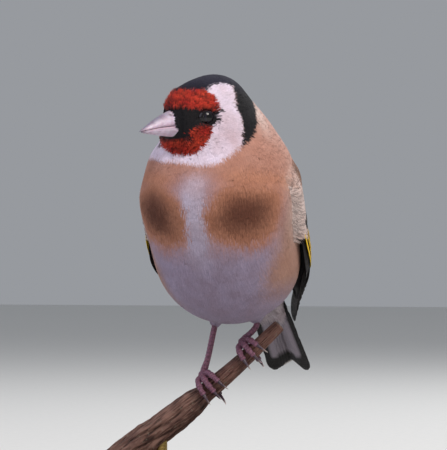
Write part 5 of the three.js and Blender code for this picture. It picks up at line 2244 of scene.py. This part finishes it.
@dataclass
class Foot:
    """One bare leg with four toes and claws round the perch."""

    name: str
    knee: tuple[float, float, float]
    ankle: tuple[float, float, float]
    grip: float
    spread: tuple[float, float, float]
    lengths: tuple[float, float, float]
    hind: float
    shank: float = 0.8
    toe: float = 0.88
    claw: float = 0.52
    claw_gap: float = 0.06
    skin: str = "#93647a"
    crease: str = "#432839"
    horn: str = "#54424f"
    point: str = "#d8c9c6"

    def lines(self, palm: Array, slide: float, length: float, ways: int) -> tuple[Curve, Curve]:
        """The middle lines of a toe and of its claw.

        Args:
            palm: Where the toes meet.
            slide: How far along the perch the toe ends, in mm.
            length: The toe's length.
            ways: 1 for forwards over the perch, -1 for the hind toe.

        Returns:
            Both curves.
        """
        hug = self.toe + 0.45
        reach = PERCH.radius(self.grip) + hug
        sweep = math.degrees(length / reach)
        start = 12 if ways > 0 else 16
        share = np.linspace(0, 1, 7)
        place = self.grip + slide * mix(0.35, 1, np.sqrt(share)) / PERCH.line.length
        wave = 0.1 * np.cos(np.pi * 5 * share)
        toe = Curve([palm, *PERCH.beside(place, ways * (start + sweep * share), hug + wave)])
        end, along = toe.at(1.0), toe.slope(1.0)
        middle = PERCH.frame(np.array(self.grip + slide / PERCH.line.length))[0]
        away = unit(end - middle)
        size = 3.4 if ways > 0 else 5.2
        claw = Curve([end + along * self.claw_gap, end + along * size * 0.45 + away * 0.45,
                      end + along * size * 0.85 - away * 0.1, end + along * size - away * 0.7])
        return toe, claw

    def limb(self, line: Curve, radius: Callable[[Array], Array], plates: float, pads: int,
             steps: int = 110) -> tuple:
        """A scuted length of leg or toe.

        Args:
            line: Its middle line.
            radius: A function of the share along it.
            plates: Length of a plate in mm.
            pads: Pads under it, or 0 for a shank.
            steps: Rings.

        Returns:
            Points, faces and colours.
        """
        share = np.linspace(0, 1, steps)
        inner = line.even(share)
        middle = line.at(inner)
        count = max(2, round(line.length / plates))
        phase = (share * count) % 1
        step = phase ** 1.6
        crease = np.exp(-((np.minimum(phase, 1 - phase) / 0.09) ** 2))
        angle = np.linspace(0, 2 * np.pi, 22, endpoint=False)
        front = 0.5 + 0.5 * np.sin(angle)
        r = radius(share)[:, None] * (1 + (0.09 * step - 0.1 * crease)[:, None] * (0.35 + 0.65 * front))
        under = 1 - front
        small = np.sin(share * count * 2 * np.pi * 2)[:, None] * np.sin(6 * angle)[None]
        r = r * (1 + 0.03 * small * under)
        rings = tube_rings(middle, r, 22, 1.0, self.facing(middle, pads))
        points, faces = rings_mesh(rings)
        skin, dark = pigment(self.skin), pigment(self.crease)
        share_dark = (0.75 * crease[:, None] * (0.4 + 0.6 * front) + 0.25 * under * (small > 0.2)).ravel()
        colour = mix(skin, dark, np.clip(share_dark, 0, 1)[:, None])
        return points, faces, with_ends(colour)

    def facing(self, middle: Array, pads: int) -> Array:
        """Which way the plates of a limb face at each point."""
        if pads == 0:
            return np.array([-0.35, -1.0, 0.25])
        return unit(middle - PERCH.frame(np.full(len(middle), self.grip))[0] + 1e-6)

    def build(self, leg_finish: Material, claw_finish: Material) -> list[Thing]:
        """Makes the leg, its toes and its claws.

        Args:
            leg_finish: The legs' finish.
            claw_finish: The claws' finish.

        Returns:
            The pieces.
        """
        palm = PERCH.beside(np.array(self.grip), np.array(-4.0), self.toe + 0.45 + 0.7)
        knee, ankle = np.array(self.knee, float), np.array(self.ankle, float)
        shin = Curve([knee, mix(knee, ankle, 0.5), ankle, palm])
        parts = [self.limb(shin, lambda s: self.shank + 0.14 * bell(s, 0.9, 0.08), 1.05, 0)]
        claws = []
        toes = [(slide, self.lengths[i], 1, 4 - (i != 1)) for i, slide in enumerate(self.spread)]
        toes.append((-0.2, self.hind, -1, 2))
        for slide, length, ways, pads in toes:
            toe, claw = self.lines(palm, slide, length, ways)
            parts.append(self.limb(toe, lambda s, n=pads: (
                self.toe * mix(1.08, 0.78, s) * (1 + 0.13 * np.cos(2 * np.pi * n * s))), 0.72, pads, 90))
            claws.append(claw)
        points, faces = join_meshes([(p, f) for p, f, _ in parts])
        leg = new_object("leg_" + self.name, points, faces, leg_finish)
        give_colours(leg, "marking", np.concatenate([c for _, _, c in parts]))
        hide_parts("foot_" + self.name)
        pieces = [leg]
        for number, line in enumerate(claws, 1):
            share = np.linspace(0, 1, 30)
            middle = line.at(line.even(share))
            radius = mix(self.claw, 0.05, share ** 0.9)
            up = unit(middle[0] - PERCH.frame(np.array(self.grip))[0])
            points, faces = rings_mesh(tube_rings(middle, radius, 16, 1.12, up))
            name = f"claw_{self.name}_{number}"
            thing = new_object("horn_" + name, points, faces, claw_finish)
            tint = mix(pigment(self.horn), pigment(self.point), smooth(share, 0.35, 1.0)[:, None])
            colour = np.repeat(tint, 16, axis=0)
            give_colours(thing, "marking", with_ends(colour))
            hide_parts(name)
            pieces.append(thing)
        return pieces


# The stand


@dataclass(frozen=True)
class OiledWood(Finish):
    """The base: turned walnut rubbed with oil, so a soft satin shine over brown grain 2 mm wide."""

    name: str = "walnut, turned and oiled"
    roughness: float = 0.42
    coat: float = 0.12
    coat_roughness: float = 0.3
    grain: float = 2.2

    def material(self) -> Material:
        """Builds the finish."""
        material, tree, surface = self.begin()
        where = self.place(tree, (0.12, 1.0, 1.0))
        bands = self.noise(tree, self.grain * 2.2, 5.0, where, 0.3, 0.7)
        pores = self.noise(tree, 0.35, 3.0, where, 0.45, 0.62)
        brown = self.blend(tree, Mixing.OVER, bands, rgba("#5d3d28"), rgba("#2f1c12"))
        pored = self.blend(tree, Mixing.TIMES, self.spread(tree, pores, 0, 1, 0.0, 0.55), brown,
                           rgba("#6a5140"))
        self.wear(tree, surface, pored, pores, -0.06, 0.16)
        self.relief(tree, surface, pores, -0.06)
        return material


@dataclass(frozen=True)
class BrushedBrass(Finish):
    """The rod: brass brushed round its length and left to dull, so warm with fine rings 0.3 mm apart."""

    name: str = "brass, brushed and dulled"
    roughness: float = 0.34
    metallic: float = 1.0

    def material(self) -> Material:
        """Builds the finish."""
        material, tree, surface = self.begin()
        where = self.place(tree, (0.15, 0.15, 1.0))
        rings = self.noise(tree, 0.3, 3.0, where)
        dull = self.noise(tree, 4.0, 3.0)
        tint = self.blend(tree, Mixing.OVER, self.spread(tree, dull, 0, 1, 0.0, 0.6), rgba("#b59a5c"),
                          rgba("#80673c"))
        self.wear(tree, surface, tint, rings, -0.08, 0.12)
        self.relief(tree, surface, rings, 0.02)
        return material


@dataclass
class Stand:
    """The turned base and the rod that carries the perch."""

    radius: float = 46.0
    height: float = BASE_HEIGHT
    rod_radius: float = 1.7
    rod_sink: float = 5.0
    rod_share: float = 0.288

    def lathe(self, name: str, profile: list, middle: tuple, sides: int,
              material: Material) -> Thing:
        """Turns a profile of (radius, height) pairs about an upright axis, in the model's own millimetres."""
        r, z = np.array(profile, float).T
        angle = np.linspace(0, 2 * np.pi, sides, endpoint=False)
        rings = np.stack([middle[0] + r[:, None] * np.cos(angle), middle[1] + r[:, None] * np.sin(angle),
                          np.broadcast_to(z[:, None], (len(r), sides))], -1)
        points, faces = rings_mesh(rings)
        return new_object(name, points * MM, faces, material, False)

    def build(self) -> list[Thing]:
        """Makes both pieces.

        Returns:
            The pieces.
        """
        top, edge = self.height, self.radius
        at = PERCH.line.at(PERCH.line.even(self.rod_share)) + BODY_AT
        bevel = [(edge - 1 + math.sin(a), 1 - math.cos(a)) for a in np.linspace(0, math.pi / 2, 7)]
        cove = [(edge - 0.9 * t - 0.25 * math.sin(math.pi * t), top - 3.2 + t) for t in np.linspace(0, 1, 7)]
        roll = [(edge - 3 + 1.6 * math.cos(a) - 0.1, top - 2.1 + 2.1 * math.sin(a))
                for a in np.linspace(0, math.pi / 2, 10)]
        lines = []
        for place in (edge - 6.0, edge - 7.2):
            lines += [(place + 0.35, top), (place + 0.12, top - 0.22), (place - 0.12, top - 0.22),
                      (place - 0.35, top)]
        profile = [(0.3, 0), (edge - 1.4, 0), *bevel, (edge, 2.6), (edge, 4.6), *cove, *roll, *lines,
                   (0.3, top)]
        base = self.lathe("turned_base", profile, (0, 0), 192, OiledWood().material())
        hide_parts("stand_base")
        low, high = top - self.rod_sink, at[2] - 0.5
        r = self.rod_radius
        shape = [(0.1, low), (r - 0.1, low), (r, low + 0.2), (r, top), (r, top + 0.02),
                 (r, high - 0.3), (r - 0.12, high), (0.1, high)]
        rod = self.lathe("brass_rod", shape, (at[0], at[1]), 64, BrushedBrass().material())
        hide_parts("stand_rod")
        return [base, rod]


# The studio


@dataclass
class Studio:
    """A pale floor, soft light and the photograph's view, seen with a long lens."""

    azimuth: float = 18.0
    distance: float = 1200.0
    scale: float = 0.27
    middle: tuple[float, float] = (222.0, 230.0)
    aim: tuple[float, float, float] = (0.0, 0.0, 0.07)

    def floor(self) -> None:
        """Lays the floor with a curved rise far behind."""
        bpy.ops.mesh.primitive_plane_add(size=6)
        plane = bpy.context.object
        plane.name = "floor"
        finish = Finish("matt paper", roughness=0.9)
        material, tree, surface = finish.begin()
        grain = finish.noise(tree, 3.0)
        tree.links.new(finish.blend(tree, Mixing.OVER, grain, rgba("#dcdddb"), rgba("#e0e0de")),
                       surface.inputs["Base Color"])
        plane.data.materials.append(material)

    def light(self, name: str, place: tuple, size: float, power: float, colour: str) -> None:
        """Hangs a soft lamp that looks at the bird.

        Args:
            name: The lamp's name.
            place: Where it hangs, in m.
            size: Its width in m.
            power: Its power in watts.
            colour: Its colour as a hex value.
        """
        lamp = bpy.data.lights.new(name, "AREA")
        lamp.size = size
        lamp.energy = power
        lamp.color = linear(colour)
        holder = bpy.data.objects.new(name, lamp)
        holder.location = place
        aim = Vector(self.aim) - holder.location
        holder.rotation_mode = "QUATERNION"
        holder.rotation_quaternion = aim.to_track_quat("-Z", "Y")
        bpy.context.scene.collection.objects.link(holder)

    def camera(self) -> None:
        """Sets the camera so that a pixel is as wide as in the photograph."""
        width, height = IMAGE
        angle = math.radians(self.azimuth)
        right = Vector((math.cos(angle), math.sin(angle), 0))
        back = Vector((math.sin(angle), -math.cos(angle), 0))
        aim = Vector(BODY_AT) + right * ((width / 2 - self.middle[0]) * self.scale)
        aim.z += (self.middle[1] - height / 2) * self.scale
        data = bpy.data.cameras.new("camera")
        data.sensor_width = 36.0
        data.lens = 36.0 * self.distance / (height * self.scale)
        data.clip_start = 0.05
        data.clip_end = 20
        holder = bpy.data.objects.new("camera", data)
        holder.location = (aim + back * self.distance) * MM
        holder.rotation_mode = "QUATERNION"
        holder.rotation_quaternion = (-back).to_track_quat("-Z", "Y")
        bpy.context.scene.collection.objects.link(holder)
        bpy.context.scene.camera = holder

    def build(self) -> None:
        """Sets the whole studio up."""
        self.floor()
        self.light("key", (0.6, -0.55, 1.05), 0.6, 12.2, "#fff6ee")
        self.light("fill", (-0.8, -0.5, 0.6), 0.9, 3.0, "#e4e6ff")
        self.light("back", (0.3, 0.9, 0.8), 0.6, 6, "#ffffff")
        world = bpy.data.worlds.new("studio")
        world.use_nodes = True
        shade = world.node_tree.nodes["Background"]
        shade.inputs["Color"].default_value = rgba("#dfe3ea")
        shade.inputs["Strength"].default_value = 0.42
        bpy.context.scene.world = world
        bpy.context.scene.view_settings.view_transform = "Standard"
        self.camera()


def main() -> None:
    """Builds the bird, its perch and its stand, and lights them."""
    logging.basicConfig(level=logging.INFO, format="%(message)s")
    pieces = Coat().build()
    plumage = pieces[0].data.materials[0]
    pieces += FlightFeathers().build(plumage)
    pieces += Tail().build(plumage)
    pieces += Bill().build(plumage)
    pieces += Eye().build()
    pieces.append(PERCH.build())
    legs, claws = Scute().material(), ClawHorn().material()
    left, right = FORM.cuffs
    feet = (Foot("left", *left, 0.826, (2.7, 0.1, -2.6), (4.8, 6.2, 5.2), 7.0),
            Foot("right", *right, 0.5895, (2.6, -0.2, -2.8), (5.8, 7.2, 6.0), 7.4))
    for foot in feet:
        pieces += foot.build(legs, claws)
    pieces += Stand().build()
    for piece in pieces:
        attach(piece, "root")
        log.info("%s: %d triangles", piece.name, len(piece.data.polygons))
    Studio().build()


if __name__ == "__main__":
    main()
